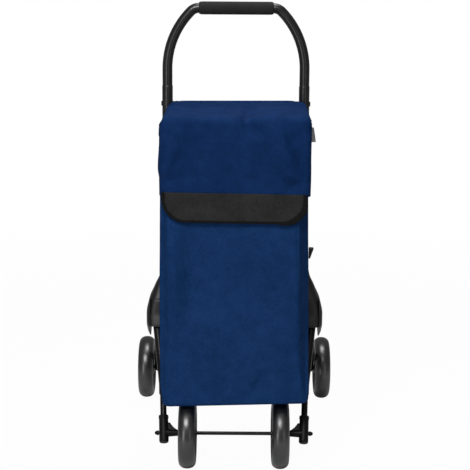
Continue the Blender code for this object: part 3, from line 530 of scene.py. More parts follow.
path = [(x, -AXLE_Y, AXLE_Z) for x in (-FRONT_AXLE_END, -0.08, 0, 0.08, FRONT_AXLE_END)]
axle = ringed("front_axle_rod", swept(path, AXLE_R, 24), 50)
dress(axle, leg_look, "frame_black", "front_legs", "front_axle")
keep(zinc_look, "front_axle_washer_left", "front_axle_washer_right")
for word, side in SIDES:
    dome = [(0.0002, 0.0090), (0.0016, 0.0088), (0.0034, 0.0074), (0.0048, 0.0044), (0.0052, 0.0022),
            (0.0052, 0.0003)]
    rings = turned([(r, side * x) for r, x in dome], (side * FRONT_AXLE_END, -AXLE_Y, AXLE_Z), 32)
    cap = ringed(f"front_axle_dome_{word}", rings, closed=True)
    dress(cap, foot_look, "plastic_black", "front_legs", f"front_axle_cap_{word}")
    shank = [(AXLE_R, -BOLT_LENGTH), (AXLE_R, 0.0), (0.0070, 0.0002), (0.0070, 0.0018), (0.0062, 0.0028),
             (0.0040, 0.0030), (0.0034, 0.0016), (0.0002, 0.0014), (0.0002, -BOLT_LENGTH)]
    rings = turned([(r, side * x) for r, x in shank], (side * REAR_BOLT_X, AXLE_Y, AXLE_Z), 32)
    bolt = ringed(f"rear_axle_headed_bolt_{word}", rings, 32, closed=True)
    dress(bolt, zinc_look, "zinc", "rear_legs", f"rear_axle_bolt_{word}")


# The folding hinges: a black plastic housing moulded round each upright's foot, closed by an outer cover that
# tapers to a point. The leg tops turn inside it on zinc plated pins, and toothed plates make both pairs fold
# together. A grey button at the back frees the fold.
UPRIGHT_X = 0.155
LEAN = math.tan(math.radians(3.5))
LEAN_FOOT_Z = 0.33
JOINT_INNER_X = 0.1396
HOUSING_INNER_X = 0.1605
HOUSING_FOOT_Z = 0.2745
ROOM_INNER_X = 0.1640
ROOM_TOP_Z = 0.326
SPLIT_Z = 0.333
SPLIT_X = 0.1946
JOINT_SQUARENESS = 0.5
OUTSIDE = 1


def leaned(height):
    """How far back the handle's line lies at this height."""
    return (height - LEAN_FOOT_Z) * LEAN


def smooth_rows(rows, steps):
    """More rows of numbers, on a smooth line through the given ones."""
    out = []
    for i in range(len(rows) - 1):
        a, b = rows[i], rows[i + 1]
        before = rows[max(i - 1, 0)]
        after = rows[min(i + 2, len(rows) - 1)]
        for k in range(steps):
            t = k / steps
            row = []
            for p, q, r, s in zip(before, a, b, after):
                bend = 2 * p - 5 * q + 4 * r - s + t * (3 * (q - r) + s - p)
                row.append(q + 0.5 * t * (r - p + t * bend))
            out.append(row)
    out.append(list(rows[-1]))
    return out


def shell_rings(rows, side, inner_x, outer_x, squareness):
    """Plans of the joint's form, cut off flat at an inner and an outer face."""
    rings = []
    for height, reach_x, half_depth in rows:
        plan = oval(JOINT_INNER_X, reach_x, max(leaned(height), 0), half_depth, squareness)
        rings.append([Vector((side * min(max(x, inner_x), outer_x), y, height)) for x, y in plan])
    return rings


# Height, outer reach and half depth of the joint's form, from its point up to its neck.
JOINT_FORM = ((0.235, 0.1985, 0.0022), (0.2365, 0.1992, 0.0058), (0.250, 0.2022, 0.0330),
              (0.264, 0.2036, 0.0525), (0.2725, 0.2042, 0.0620), (0.2765, 0.2044, 0.0632),
              (0.288, 0.2046, 0.0580), (0.302, 0.2044, 0.0512), (0.317, 0.2012, 0.0472),
              (0.331, 0.1972, 0.0428), (0.346, 0.1902, 0.0347), (0.361, 0.1838, 0.0266),
              (0.378, 0.1757, 0.0182), (0.395, 0.1716, 0.0160), (0.4035, 0.1702, 0.0153),
              (0.405, 0.1688, 0.0138))
plastic_look = moulding_finish("black_moulding", 0.42)
form = smooth_rows(JOINT_FORM, 5)
upper = [row for row in form if row[0] > SPLIT_Z]
lower = [row for row in form if HOUSING_FOOT_Z < row[0] <= SPLIT_Z]
room = [(z, x - 0.003, half - 0.0028) for z, x, half in lower if z < ROOM_TOP_Z]
for word, side in SIDES:
    rings = shell_rings(room[::-1], side, ROOM_INNER_X, SPLIT_X - 0.0016, 0.42)
    rings += shell_rings(lower, side, HOUSING_INNER_X, SPLIT_X - 0.0003, JOINT_SQUARENESS)
    neck = [(SPLIT_Z, *upper[0][1:])] + upper
    rings += shell_rings(neck, side, HOUSING_INNER_X, OUTSIDE, JOINT_SQUARENESS)
    mesh = bmesh.new()
    add_rings(mesh, rings)
    collar = [(side * UPRIGHT_X, leaned(z), z) for z in (0.2765, 0.2775, 0.30, 0.35, 0.398, 0.4035, 0.405)]
    add_rings(mesh, swept(collar, [0.0142, 0.0153, 0.0155, 0.0155, 0.0154, 0.0150, 0.0132], 36))
    housing = made_piece(f"hinge_housing_shell_{word}", mesh)
    dress(housing, plastic_look, "plastic_black", "chassis", f"hinge_housing_{word}")
    cover_rows = [row for row in form if row[0] < SPLIT_Z - 0.0006]
    cover_rows.append((SPLIT_Z - 0.0004, cover_rows[-1][1] - 0.0006, cover_rows[-1][2] - 0.0006))
    lip = [row for row in cover_rows if row[0] < lower[0][0]]
    rings = shell_rings(lip, side, SPLIT_X + 0.0014, OUTSIDE, JOINT_SQUARENESS)
    rings += shell_rings(cover_rows[len(lip):], side, SPLIT_X, OUTSIDE, JOINT_SQUARENESS)
    cover = ringed(f"hinge_cover_shell_{word}", rings)
    dress(cover, plastic_look, "plastic_black", "chassis", f"hinge_cover_{word}")
    keep(plastic_look, f"front_fold_gear_{word}", f"rear_fold_gear_{word}")
    keep(zinc_look, f"front_pivot_pin_{word}", f"rear_pivot_pin_{word}")

button_look, shader, field = finish("grey_button_moulding")
spot = field.spot()
grain = field.mottle(spot, 0.0007, 2.0)
colour = grain.tint((0.075, 0.076, 0.078), (0.10, 0.10, 0.10))
skin(field, shader, colour, 0.42 + grain * 0.12, grain, 0.00006)
keep(button_look, "fold_lock_button_left", "fold_lock_button_right")


# The handle: two straight uprights of steel tube with a slimmer bow pushed into their tops. The bow is bent
# round two wide shoulders and two tight corners to a straight top bar. All of it has a satin black coat.
UPRIGHT_R = 0.0120
BOW_R = 0.01125
GRIP_Z = 0.991
SHOULDER_R = 0.18
SHOULDER_TURN = math.radians(45)
CORNER_R = 0.0265
coat_look = coat_finish("satin_black_coat", 0.55)


def bow_path():
    """The bow's middle line from its right foot to its left, and half the length of its top bar."""
    corner_rise = CORNER_R * (1 - math.sin(SHOULDER_TURN))
    bend_z = GRIP_Z - corner_rise - SHOULDER_R * math.sin(SHOULDER_TURN)
    shoulder_in = SHOULDER_R * (1 - math.cos(SHOULDER_TURN))
    half_grip = UPRIGHT_X - shoulder_in - CORNER_R * math.cos(SHOULDER_TURN)
    right = [(UPRIGHT_X, 0.758), (UPRIGHT_X, 0.82)]
    for k in range(19):
        turn = SHOULDER_TURN * k / 18
        right.append((UPRIGHT_X - SHOULDER_R * (1 - math.cos(turn)),
                      bend_z + SHOULDER_R * math.sin(turn)))
    for k in range(1, 9):
        turn = SHOULDER_TURN + (math.pi / 2 - SHOULDER_TURN) * k / 8
        right.append((half_grip + CORNER_R * math.cos(turn),
                      GRIP_Z - CORNER_R * (1 - math.sin(turn))))
    both = right + [(0.03, GRIP_Z)] + [(-x, z) for x, z in [(0.03, GRIP_Z)] + right[::-1]]
    return [(x, leaned(z), z) for x, z in both], half_grip


for word, side in SIDES:
    heights = (0.284, 0.40, 0.60, 0.80, 0.8165, 0.8177, 0.818)
    path = [(side * UPRIGHT_X, leaned(z), z) for z in heights]
    rings = swept(path, [UPRIGHT_R] * 5 + [0.0118, 0.0114], 36)
    upright = ringed(f"upright_tube_{word}", rings, 50)
    dress(upright, coat_look, "frame_black", "chassis", f"upright_{word}")
path, half_grip = bow_path()
bow = ringed("handle_bow_tube", swept(path, BOW_R, 36), 50)
dress(bow, coat_look, "frame_black", "chassis", "handle_bow")


# The grip: a sleeve of soft black foam with rounded ends, pushed over the bow's top bar, where its own
# tightness holds it.
GRIP_R = 0.0145
foam_look, shader, field = finish("black_foam", Specular_IOR_Level=0.25)
spot = field.spot()
cells = field.node("ShaderNodeTexVoronoi", {"feature": "F1"}, Vector=spot, Scale=1 / 0.0011)
wear = field.mottle(spot, 0.02)
colour = wear.tint((0.010, 0.0102, 0.0098), (0.020, 0.0202, 0.0196))
skin(field, shader, colour, 0.78 + cells * 0.15, cells, 0.00022)
half = [(0.0116, half_grip), (0.0123, half_grip), (0.0134, half_grip - 0.0010), (0.0141, half_grip - 0.0035),
        (GRIP_R, half_grip - 0.008), (GRIP_R, half_grip - 0.02), (GRIP_R, 0.0)]
outline = half + [(r, -x) for r, x in half[-2::-1]]
grip = ringed("foam_grip", turned(outline, (0, leaned(GRIP_Z), GRIP_Z), 48), 50, closed=True)
dress(grip, foam_look, "foam_grip", "chassis", "handle_grip")


# The mouth hoop: a zinc plated steel rod, bent to three sides of the bag's plan, that holds its mouth open.
# Its ends sit in black moulded clips on the uprights.
HOOP_Z = 0.7525
HOOP_X = 0.142
HOOP_R = 0.004
HOOP_BEND_R = 0.030
hoop_front = -0.2294 + leaned(HOOP_Z)
hoop_rear = leaned(0.778) - 0.0124
right = [(HOOP_X, hoop_rear), (HOOP_X, -0.08), (HOOP_X, hoop_front + HOOP_BEND_R)]
for k in range(1, 13):
    turn = -math.pi / 2 * k / 12
    right.append((HOOP_X - HOOP_BEND_R + HOOP_BEND_R * math.cos(turn),
                  hoop_front + HOOP_BEND_R + HOOP_BEND_R * math.sin(turn)))
both = right + [(-x, y) for x, y in right[::-1]]
hoop = ringed("mouth_hoop_rod", swept([(x, y, HOOP_Z) for x, y in both], HOOP_R, 20), 50)
dress(hoop, zinc_look, "zinc", "chassis", "mouth_hoop")
keep(plastic_look, "hoop_clip_left", "hoop_clip_right")


# The bag: navy woven polyester with a coated inside, sewn as one tube with a base, and hung from the hoop and
# the uprights. It is full enough to stand out softly, with a few long creases.
# A stiff grey board lies in its base.
BAG_FRONT_Y = -0.2464
BAG_REAR_Y = -0.0164
BAG_BOTTOM = 0.163
BAG_RIM = 0.743
FRONT_CORNER_R = 0.011
RIGHT_FLAT = 0.0165
LEFT_FLAT = 0.0080
FLAT_TURN = 33
REAR_CORNER_R = 0.018
BASE_R = 0.010
CLOTH_T = 0.0012
SETTLE_STEPS = 18
RISE_ROWS = 86
BACK_LIFT = 0.0385
BACK_LIFT_Z = 0.66


def clamp(share):
    """A share, kept between 0 and 1."""
    return max(0, min(1, share))


def fold(x, z, line, left, right, height):
    """How far a fold down a line of (x, z) points lifts the cloth, which rises and falls over two widths."""
    near = []
    for i, ((ax, az), (bx, bz)) in enumerate(zip(line, line[1:])):
        dx, dz = bx - ax, bz - az
        t = clamp(((x - ax) * dx + (z - az) * dz) / (dx * dx + dz * dz))
        gap = math.hypot(x - ax - t * dx, z - az - t * dz)
        near.append((gap, dx * (z - az) - dz * (x - ax), i + t))
    gap, turn, along = min(near)
    fade = math.sin(math.pi * along / (len(line) - 1)) ** 0.7
    return height * fade * math.exp(-(gap / (right if turn > 0 else left)) ** 2)


def between(a, b, count):
    """Evenly spaced rows of numbers from one row to another, without the two."""
    return [tuple(p + (q - p) * k / count for p, q in zip(a, b)) for k in range(1, count)]


def bag_plan(half_w, inset, flatness, per_side=44, per_arc=5):
    """The bag's plan, clockwise from its back, as place and outward direction, with flat front corners."""
    front, rear = BAG_FRONT_Y + inset, BAG_REAR_Y - inset
    corners = []
    for sx, y, radius, flat_x, start in ((1, rear, REAR_CORNER_R, 0, 90),
                                         (1, front, FRONT_CORNER_R, RIGHT_FLAT, 0),
                                         (-1, front, FRONT_CORNER_R, LEFT_FLAT, -90),
                                         (-1, rear, REAR_CORNER_R, 0, 180)):
        radius = max(radius - inset, 0.004)
        flat_x *= flatness
        cx = sx * (half_w - inset - radius)
        cy = y - radius if y == rear else y + radius
        side_y = cy + flat_x / math.tan(math.radians(FLAT_TURN))
        middle = FLAT_TURN if sx > 0 else 90 - FLAT_TURN
        arcs = []
        for low, high, on_side in ((0, middle, sx > 0), (middle, 90, sx < 0)):
            px, py = (cx, side_y) if on_side else (cx - sx * flat_x, cy)
            arc = []
            for k in range(per_arc + 1):
                turn = math.radians(start - low - (high - low) * k / per_arc)
                c, s = math.cos(turn), math.sin(turn)
                arc.append((px + radius * c, py + radius * s, c, s))
            arcs.append(arc)
        flat = between(arcs[0][-1], arcs[1][0], 6) if flat_x else []
        corners.append(arcs[0] + flat + (arcs[1] if flat_x else arcs[1][1:]))
    plan = []
    for i, corner in enumerate(corners):
        count = per_side if i % 2 else per_side * 3 // 4
        plan += corner + between(corner[-1], corners[(i + 1) % 4][0], count)
    return plan


def bag_half_width(z):
    """Half the bag's width at this height: it widens a little from its base up."""
    return 0.1518 + 0.0042 * clamp((z - BAG_BOTTOM) / 0.137)


# The front's folds and hollows: a line down each, its two widths and its height.
FRONT_FOLDS = (
    (((-0.132, 0.57), (-0.133, 0.48), (-0.134, 0.40), (-0.134, 0.30)), 0.010, 0.030, 0.0155),
    (((-0.100, 0.57), (-0.096, 0.48), (-0.096, 0.40), (-0.102, 0.31)), 0.022, 0.032, -0.0060),
    (((0.062, 0.238), (0.056, 0.220), (0.046, 0.203), (0.038, 0.192)), 0.010, 0.012, -0.0085),
    (((-0.040, 0.528), (-0.025, 0.520), (-0.008, 0.516)), 0.007, 0.010, 0.0042),
    (((-0.075, 0.545), (-0.030, 0.536), (0.030, 0.545)), 0.012, 0.014, -0.0022),
)


def bag_shift(x, z, nx, ny):
    """How far the hung cloth stands out from its even shape."""
    swell = max(0, math.sin(math.pi * clamp((z - 0.17) / 0.58)))
    out = 0.0016 * swell
    out += 0.0016 * noise.noise(Vector((x * 13 + nx * 2, ny * 3, z * 9)))
    out += 0.0007 * noise.noise(Vector((x * 34 + nx * 5, ny * 5 + 7, z * 26)))
    out -= 0.0032 * abs(nx) * clamp((z - 0.695) / 0.04)
    if ny < -0.7:
        out -= 0.0050 * clamp((z - 0.585) / 0.05)
        for line, left, right, height in FRONT_FOLDS:
            out += fold(x, z, line, left, right, height)
    return out


def cloth_piece(name, rows, closed):
    """A single sheet from rows of (point, weft, warp)."""
    mesh = bmesh.new()
    layer = mesh.verts.layers.float_vector.new("cut")
    loops = []
    for row in rows:
        loop = []
        for point, weft, warp in row:
            vert = mesh.verts.new(point)
            vert[layer] = (weft, warp, 0)
            loop.append(vert)
        loops.append(loop)
    for low, high in zip(loops, loops[1:]):
        count = len(low)
        for i in range(count if closed else count - 1):
            j = (i + 1) % count
            mesh.faces.new((low[i], low[j], high[j], high[i]))
    return made_piece(name, mesh, 180)


def settle(piece, held, slack, push, cap):
    """Lets a sheet that is cut too wide buckle by simulation. Held points stay, and a cap limits the rest."""
    group = piece.vertex_groups.new(name="held")
    for index, weight in enumerate(held):
        group.add([index], weight, "REPLACE")
    piece.shape_key_add(name="hung", from_mix=False)
    cut = piece.shape_key_add(name="cut", from_mix=False)
    for point in cut.data:
        point.co = Vector((point.co.x * (1 + slack), point.co.y * (1 + slack), point.co.z))
    hang = piece.modifiers.new("hang", "CLOTH")
    cloth = hang.settings
    cloth.rest_shape_key = cut
    cloth.vertex_group_mass = "held"
    cloth.quality = 5
    cloth.tension_stiffness = 30
    cloth.compression_stiffness = 30
    cloth.bending_stiffness = 3
    cloth.use_pressure = True
    cloth.uniform_pressure_force = push
    cloth.effector_weights.gravity = 0.2
    hang.collision_settings.use_collision = False
    for step in range(1, SETTLE_STEPS + 1):
        bpy.context.scene.frame_set(step)
    settled = piece.evaluated_get(bpy.context.evaluated_depsgraph_get()).data
    moves = [new.co - old.co for new, old in zip(settled.vertices, piece.data.vertices)]
    piece.modifiers.remove(hang)
    piece.vertex_groups.remove(group)
    piece.shape_key_clear()
    bpy.context.scene.frame_set(1)
    for vert, move in zip(piece.data.vertices, moves):
        vert.co += move * min(1, cap / max(move.length, 1e-9))


def thicken(piece, thickness):
    """Gives a sheet its thickness, on its inner side."""
    solid = piece.modifiers.new("thickness", "SOLIDIFY")
    solid.thickness = thickness
    solid.offset = -1


def fabric_look(name, dark, light, weave, depth, **fixed):
    """Woven cloth: threads over and under at the weave's pitch, and uneven dye."""
    look, shader, field = finish(name, **fixed)
    spot = field.spot()
    weft, warp = field.cloth()
    over = weft.wave(2 * weave) * warp.wave(2 * weave)
    slub = field.mottle(spot, 0.006, 4.0)
    fade = field.mottle(spot, 0.09)
    cloud = field.mottle(spot, 0.025)
    tone = (fade - 0.5) * 0.6 + (cloud - 0.5) * 0.7 + (slub - 0.5) * 0.7 + over * 0.10 + 0.5
    colour = tone.clear(0.0, 1.0).tint(dark, light)
    skin(field, shader, colour, 0.60 + slub * 0.22 - over * 0.04, over * 0.5 + slub * 0.6, depth)
    return look


navy_look = fabric_look("navy_weave", (0.0043, 0.0226, 0.0815), (0.0103, 0.0410, 0.1365), 0.0011, 0.00016,
                        Specular_IOR_Level=0.02)
rows = []
for k in range(8):
    rows.append((BAG_BOTTOM, 0.110 - (0.110 - BASE_R) * k / 7))
for k in range(1, 6):
    turn = math.pi / 2 * k / 5
    rows.append((BAG_BOTTOM + BASE_R * (1 - math.cos(turn)), BASE_R * (1 - math.sin(turn))))
first_z = BAG_BOTTOM + BASE_R
for k in range(1, RISE_ROWS + 1):
    rows.append((first_z + (BAG_RIM - first_z) * k / RISE_ROWS, 0))
shell = []
held = []
for z, inset in rows:
    ring = []
    weft = 0.0
    last = None
    flatness = 0.1 + 0.9 * clamp((z - 0.18) / 0.10)
    for x, y, nx, ny in bag_plan(bag_half_width(z), min(inset, 0.1), flatness):
        length = math.hypot(nx, ny) or 1
        nx, ny = nx / length, ny / length
        out = bag_shift(x, z, nx, ny) if inset < BASE_R / 2 else 0
        top = max(0, (z - BACK_LIFT_Z) / (BAG_RIM - BACK_LIFT_Z))
        lift = (BACK_LIFT + 0.0015 * x / 0.13) * top * clamp((0.131 - abs(x)) / 0.006) if ny > 0.9 else 0
        if last:
            weft += math.hypot(x - last[0], y - last[1])
        last = (x, y)
        forward = (BAG_REAR_Y - y) / (BAG_REAR_Y - BAG_FRONT_Y)
        flare = 0.0062 * clamp((0.30 - z) / 0.137) * clamp((-0.165 - y) / 0.045) * abs(nx)
        set_right = forward * 0.0095 * (0.42 - z) + math.copysign(flare, x)
        sag = 0.0045 * forward * max(0, 1 - (z - BAG_BOTTOM) / 0.06) * (0.9 - x * 6.6)
        high = z + lift - sag
        ring.append((Vector((x + nx * out + set_right, y + ny * out + leaned(high), high)), weft, z))
        held.append(1.0 if z < first_z + 0.001 or z > BAG_RIM - 0.012 or ny > 0.5 else 0.0)
    shell.append(ring)
bag = cloth_piece("bag_shell", shell, True)
settle(bag, held, 0.008, 0.05, 0.004)
thicken(bag, CLOTH_T)
dress(bag, navy_look, "bag_navy", "chassis", "bag_body")
board_look, shader, field = finish("grey_board")
spot = field.spot()
fibre = field.mottle(spot, 0.002, 4.0)
field.feed(shader.inputs["Base Color"], fibre.tint((0.04, 0.04, 0.04), (0.065, 0.064, 0.062)))
field.feed(shader.inputs["Roughness"], 0.6 + fibre * 0.2)
keep(board_look, "bag_base_board")


# The ties: black woven webbing sewn to the bag's back and passed round each upright, which keeps the bag
# from swinging. The right one ends in a small black moulded buckle.
LOOP_R = 0.0143
BUCKLE_X = 0.1714
STRAP_Z = 0.434
STRAP_HALF_H = 0.013
STRAP_HALF_T = 0.0008
webbing_look, shader, field = finish("black_webbing", Specular_IOR_Level=0.12)
*_, up = field.spot().split()
ribs = field.math("ABSOLUTE", up.wave(0.0032))
colour = ribs.tint((0.0030, 0.0030, 0.0032), (0.0075, 0.0075, 0.0078))
skin(field, shader, colour, 0.92 - ribs * 0.12, ribs, 0.0003)
for word, side in SIDES:
    line = [(0.116 + 0.006 * k, -0.0152) for k in range(6)]
    for k in range(41):
        turn = math.radians(-105 + 360 * k / 40)
        line.append((UPRIGHT_X + LOOP_R * math.cos(turn), LOOP_R * math.sin(turn)))
    rings = []
    for i, (x, y) in enumerate(line):
        ahead = Vector(line[min(i + 1, len(line) - 1)]) - Vector(line[max(i - 1, 0)])
        normal = Vector((ahead.y, -ahead.x)).normalized()
        ring = []
        for rise, thick in ((-1, -0.6), (-0.97, -1), (0.97, -1), (1, -0.6),
                            (1, 0.6), (0.97, 1), (-0.97, 1), (-1, 0.6)):
            place = Vector((x, y)) + normal * STRAP_HALF_T * thick
            z = STRAP_Z + STRAP_HALF_H * rise
            ring.append(Vector((side * place.x, place.y + leaned(z), z)))
        rings.append(ring)
    tie = ringed(f"tie_webbing_{word}", rings)
    dress(tie, webbing_look, "webbing", "chassis", f"tie_strap_{word}")
rows = ((-0.012, 0.0020, 0.0070), (-0.0112, 0.0034, 0.0078), (-0.004, 0.0060, 0.0086),
        (0.0024, 0.0080, 0.0090), (0.0085, 0.0104, 0.0090), (0.0114, 0.0112, 0.0088), (0.012, 0.0102, 0.0078))
rings = []
for rise, out, half_w in smooth_rows(rows, 3):
    plan = oval(BUCKLE_X, BUCKLE_X + out, leaned(STRAP_Z), half_w, 0.5, 28)
    rings.append([Vector((x, y, STRAP_Z + rise)) for x, y in plan])
buckle = ringed("tie_buckle_moulding", rings)
dress(buckle, plastic_look, "plastic_black", "chassis", "tie_buckle_right")


# The side tab: a short grey woven ribbon, folded double and caught in the bag's right side seam.
# It flares towards its lower end and has a dark edge.
TAB_X = 0.1578
TAB_TOP_Z = 0.757
TAB_LENGTH = 0.031
ribbon_look, shader, field = finish("grey_ribbon")
along, _, up = field.spot().split()
cord = field.math("ABSOLUTE", up.wave(0.0024))
# A dark band along the tab's outer edge.
outer_dark_band = (along + up * 0.16).clear(0.2836, 0.2848)
grey = cord.tint((0.20, 0.205, 0.215), (0.34, 0.345, 0.355))
colour = outer_dark_band.tint(grey, (0.035, 0.036, 0.038))
skin(field, shader, colour, 0.85 - cord * 0.15, cord, 0.0002)
tab_y = -0.2115 + leaned(TAB_TOP_Z)
plan = [(0, -1), (0.5, -1.1), (0.88, -1.3), (0.97, -0.9), (1, 0),
        (0.97, 0.9), (0.88, 1.3), (0.5, 1.1), (0, 1)]
rows = ((0, 0.0066, 0.0005), (0.004, 0.0076, 0.0006), (0.015, 0.0094, 0.0008), (0.027, 0.0112, 0.0010),
        (TAB_LENGTH, 0.0116, 0.0011))
rings = []
for drop, out, half_t in smooth_rows(rows, 4):
    z = TAB_TOP_Z - drop
    bow = 0.0012 * math.sin(math.pi * drop / TAB_LENGTH)
    rings.append([Vector((TAB_X + out * a, tab_y + 0.0008 + bow * a + half_t * b, z)) for a, b in plan])
tab = ringed("side_ribbon_tab", rings, 60)
dress(tab, ribbon_look, "ribbon_grey", "chassis", "side_tab")


# The lid: one panel of navy woven polyester, sewn along the bag's back edge. It lies over the hoop with short
# sewn sides, turns over a round front edge and hangs down as a flap, which wraps the bag's front corners.
LID_Z = 0.787
LID_FRONT_Y = -0.2522
LID_EDGE_R = 0.017
LID_CORNER_R = 0.021
LID_FLAT_X = 0.1365
RIGHT_CORNER_R = 0.015
RIGHT_FLAT_X = 0.1425
FLAP_SEAM_Z = 0.6165
LID_HALF_W = 0.1575
LID_SIDE_DEPTH = 0.022
FRONT_WRAP = 1.30
LID_ROWS = 84
LID_COLUMNS = 86


def lid_station(run):
    """Point, outward direction and side depth this far along the lid's middle line from its back edge."""
    top = LID_FRONT_Y + LID_EDGE_R
    flat = BAG_REAR_Y - top
    bend = LID_EDGE_R * math.pi / 2
    side_s = LID_CORNER_R * math.pi / 2 + LID_SIDE_DEPTH
    front_s = LID_CORNER_R * FRONT_WRAP
    if run <= flat:
        return BAG_REAR_Y - run, LID_Z, 0.0, 1.0, side_s
    if run <= flat + bend:
        turn = (run - flat) / LID_EDGE_R
        share = turn / (math.pi / 2)
        return (top - LID_EDGE_R * math.sin(turn), LID_Z - LID_EDGE_R * (1 - math.cos(turn)),
                -math.sin(turn), math.cos(turn), side_s + (front_s - side_s) * share)
    fall = run - flat - bend
    return LID_FRONT_Y + 0.012 * fall, LID_Z - LID_EDGE_R - fall, -1.0, 0.0, front_s


def widened(x, y, z):
    """Sideways place on the lid. Its top lies a little to the right, and its sides clear the bag."""
    low = clamp((0.782 - z) / 0.045)
    forward = clamp((BAG_REAR_Y - y) / (BAG_REAR_Y - BAG_FRONT_Y))
    reach = 0.0020 if x < 0 else 0.0030
    spread = math.copysign(reach * (x / LID_HALF_W) ** 2, x) - 0.0015 * forward
    return x + 0.0025 * (1 - low) * (1 - forward) + low * spread


def side_wrap(s):
    """Sideways place, drop and turn of a sheet that goes round a corner, which is tighter on the right."""
    flat, radius = (LID_FLAT_X, LID_CORNER_R) if s < 0 else (RIGHT_FLAT_X, RIGHT_CORNER_R)
    over = abs(s) - flat
    if over <= 0:
        return s, 0.0, 0.0
    turn = min(over / radius, math.pi / 2)
    rest = max(0.0, over - radius * math.pi / 2)
    drop = radius * (1 - math.cos(turn)) + rest
    return math.copysign(flat + radius * math.sin(turn), s), drop, turn


def lid_sink(x):
    """How far the lid's top lies below its hinge line: nothing at its right side and most at its left."""
    return 0.0018 * (1 - x / 0.16)


# The lid's folds and hollows: a line down each, its two widths and its height.
LID_FOLDS = (
    (((0.080, 0.802), (0.089, 0.765), (0.101, 0.727), (0.113, 0.693), (0.123, 0.664), (0.130, 0.645)),
     0.030, 0.0165, 0.0180),
    (((-0.114, 0.735), (-0.125, 0.717), (-0.138, 0.6945), (-0.149, 0.672), (-0.155, 0.655)),
     0.020, 0.0135, 0.0135),
    (((0.036, 0.816), (0.025, 0.800), (0.022, 0.783), (0.028, 0.767), (0.040, 0.757), (0.060, 0.746)),
     0.0095, 0.014, -0.0110),
    (((-0.092, 0.785), (-0.090, 0.72), (-0.080, 0.645)), 0.016, 0.022, -0.0050),
    (((0.050, 0.735), (0.051, 0.69), (0.052, 0.645)), 0.014, 0.018, -0.0045),
)


def lid_shift(x, y, z):
    """How far the lid's cloth stands out from its even shape."""
    out = 0.0030 * noise.noise(Vector((x * 15, y * 15, z * 15 + 3)))
    out += 0.0021 * noise.noise(Vector((x * 29, y * 29, z * 29 + 5)))
    out += 0.0008 * noise.noise(Vector((x * 52, y * 52, z * 52 + 9)))
    low = z + 0.137 * (y - LID_FRONT_Y)
    for line, left, right, height in LID_FOLDS:
        out += fold(x, low, line, left, right, height)
    return out * clamp((z - FLAP_SEAM_Z) / 0.03)


fall = LID_Z - LID_EDGE_R - FLAP_SEAM_Z
total = BAG_REAR_Y - LID_FRONT_Y - LID_EDGE_R + LID_EDGE_R * math.pi / 2 + fall
rows = []
lid_held = []
for i in range(LID_ROWS + 1):
    run = total * i / LID_ROWS
    y, z, ny, nz, depth = lid_station(run)
    row = []
    for j in range(LID_COLUMNS + 1):
        s = (LID_FLAT_X + depth) * (2 * j / LID_COLUMNS - 1)
        x, drop, turn = side_wrap(s)
        out = lid_shift(x, y, z) * max(0.0, 1 - turn * 0.5)
        up_y, up_z = ny * math.cos(turn), nz * math.cos(turn)
        point = Vector((x + math.copysign(out * math.sin(turn), x),
                        y - ny * drop + up_y * out, z - nz * drop + up_z * out))
        point.x = widened(point.x, point.y, point.z)
        point.y += leaned(point.z)
        point.z -= lid_sink(x) * clamp((z - 0.74) / 0.03)
        row.append((point, s, run))
        edge = min(i, LID_ROWS - i, j, LID_COLUMNS - j)
        lid_held.append(clamp((9 - edge) / 6))
    rows.append(row)
lid = cloth_piece("lid_and_flap", rows, False)
settle(lid, lid_held, 0.004, 0.0, 0.0009)
thicken(lid, CLOTH_T)
# The lid's cloth is the bag's navy made darker: painted shade on the lid and its flap.
lid_shaded_look = fabric_look("navy_lid_weave_painted_shade", (0.0029, 0.0162, 0.0655), (0.0068, 0.0294, 0.1095), 0.0011, 0.00016,
                       Specular_IOR_Level=0.03)
lid.data.materials.append(lid_shaded_look)
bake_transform(lid)
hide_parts("lid_top", "flap_front")


# The lid's seam: a navy piping of the bag's own cloth, sewn between the lid's back edge and the bag's back.
# It bends as the hinge, and stands taller on the left, where the lid lies lower, to keep light out.
SEAM_R = 0.0022
SEAM_HALF_W = 0.1325
SEAM_STEPS = 40
seam_y = BAG_REAR_Y + leaned(LID_Z)
path = []
for k in range(SEAM_STEPS + 1):
    x = -SEAM_HALF_W + 2 * SEAM_HALF_W * k / SEAM_STEPS
    path.append((x, seam_y - 0.0006, LID_Z - 0.0010 - lid_sink(x)))
ends = [SEAM_R * 0.5, SEAM_R * 0.9]
rings = swept(path, ends + [SEAM_R] * (SEAM_STEPS - 3) + ends[::-1], 14)
for (x, _, z), ring in zip(path, rings):
    for point in ring:
        point.z += max(0, point.z - z) * 0.45 * lid_sink(x) / SEAM_R
seam = ringed("lid_seam_piping", rings, 60)
dress(seam, navy_look, "bag_navy", "chassis")


# The flap's end: a band of black coated cloth sewn across the flap's lower edge, with large round corners.
# A black tape binds its edge. Near the lower right corner the tape is drawn wider, as a painted shadow where
# the flap's corner stands out.
PANEL_LEFT = -0.1500
PANEL_RIGHT = 0.1445
PANEL_TOP_Z = 0.6240
PANEL_LOW_Z = 0.5660
PANEL_CORNER = 0.046
PANEL_PROUD = 0.0022
PANEL_WAVE = 0.0018
PANEL_T = 0.0013
PANEL_ROWS = 30
PANEL_COLUMNS = 72
panel_look = fabric_look("black_coated_weave", (0.0035, 0.0035, 0.0038), (0.0225, 0.0225, 0.0232),
                         0.0013, 0.0002, Specular_IOR_Level=0.2)


def panel_top(x):
    """Height of the panel's top edge, which slopes a little."""
    return PANEL_TOP_Z - 0.013 * x


def panel_low(x):
    """Height of the panel's lower edge, which slopes a little less."""
    return PANEL_LOW_Z - 0.009 * x


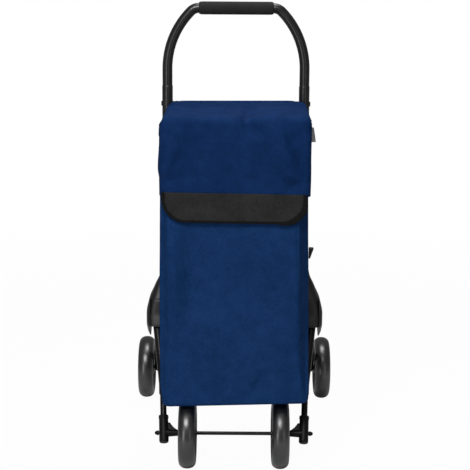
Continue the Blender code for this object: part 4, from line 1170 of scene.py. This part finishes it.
def panel_point(x, z, proud):
    """A point on the flap's face or round its corner, for a sideways place and a height."""
    over = abs(x) * (1 - 0.035 * abs(x) / LID_HALF_W) - LID_FLAT_X
    radius = LID_CORNER_R + proud
    drop = radius - math.sqrt(max(radius * radius - over * over, 0)) if over > 0 else 0
    return Vector((x, LID_FRONT_Y + 0.0017 - proud + drop + leaned(z), z))


def panel_limits(z_share):
    """The panel's left and right edges at a share of its height from the top."""
    limits = []
    for x, inward in ((PANEL_LEFT, 1), (PANEL_RIGHT, -1)):
        height = panel_top(x) - panel_low(x)
        below = max(0.0, z_share * height - (height - PANEL_CORNER)) / PANEL_CORNER
        limits.append(x + inward * PANEL_CORNER * (1 - math.sqrt(max(0.0, 1 - below * below))))
    return limits


rows = []
for i in range(PANEL_ROWS + 1):
    share = math.sin(math.pi / 2 * i / PANEL_ROWS)
    left, right = panel_limits(share)
    row = []
    for j in range(PANEL_COLUMNS + 1):
        x = left + (right - left) * j / PANEL_COLUMNS
        z = panel_top(x) + (panel_low(x) - panel_top(x)) * share
        proud = PANEL_PROUD + PANEL_WAVE * noise.noise(Vector((x * 20, 1.5, z * 26)))
        row.append((panel_point(x, z, proud), x, z))
    rows.append(row)
panel = cloth_piece("flap_end_panel", rows, False)
thicken(panel, PANEL_T)
edge = [row[0][0] for row in rows]
edge += [spot[0] for spot in rows[-1][1:-1]]
edge += [row[-1][0] for row in rows[::-1]]
rings = []
for i, point in enumerate(edge):
    ahead = (edge[min(i + 1, len(edge) - 1)] - edge[max(i - 1, 0)]).normalized()
    inward = ahead.cross(Vector((0, -1, 0))).normalized()
    # The extra width near the lower right corner is a painted shadow of the flap's lifted corner, not tape.
    half_w = 0.0027 + 0.0034 * clamp((point.x - 0.085) / 0.04) * clamp((0.615 - point.z) / 0.02)
    ring = []
    for k in range(14):
        t = 2 * math.pi * k / 14
        across = half_w * bent(math.cos(t), 0.6)
        ring.append(point + inward * (half_w * 0.95 + across) + ahead.cross(inward) * 0.0016 * math.sin(t))
    rings.append(ring)
binding_and_shadow = ringed("flap_end_binding_and_painted_shadow", rings, 60)
dress(binding_and_shadow, webbing_look, "webbing", "flap")
dress(panel, panel_look, "flap_panel", "flap", "flap_panel")
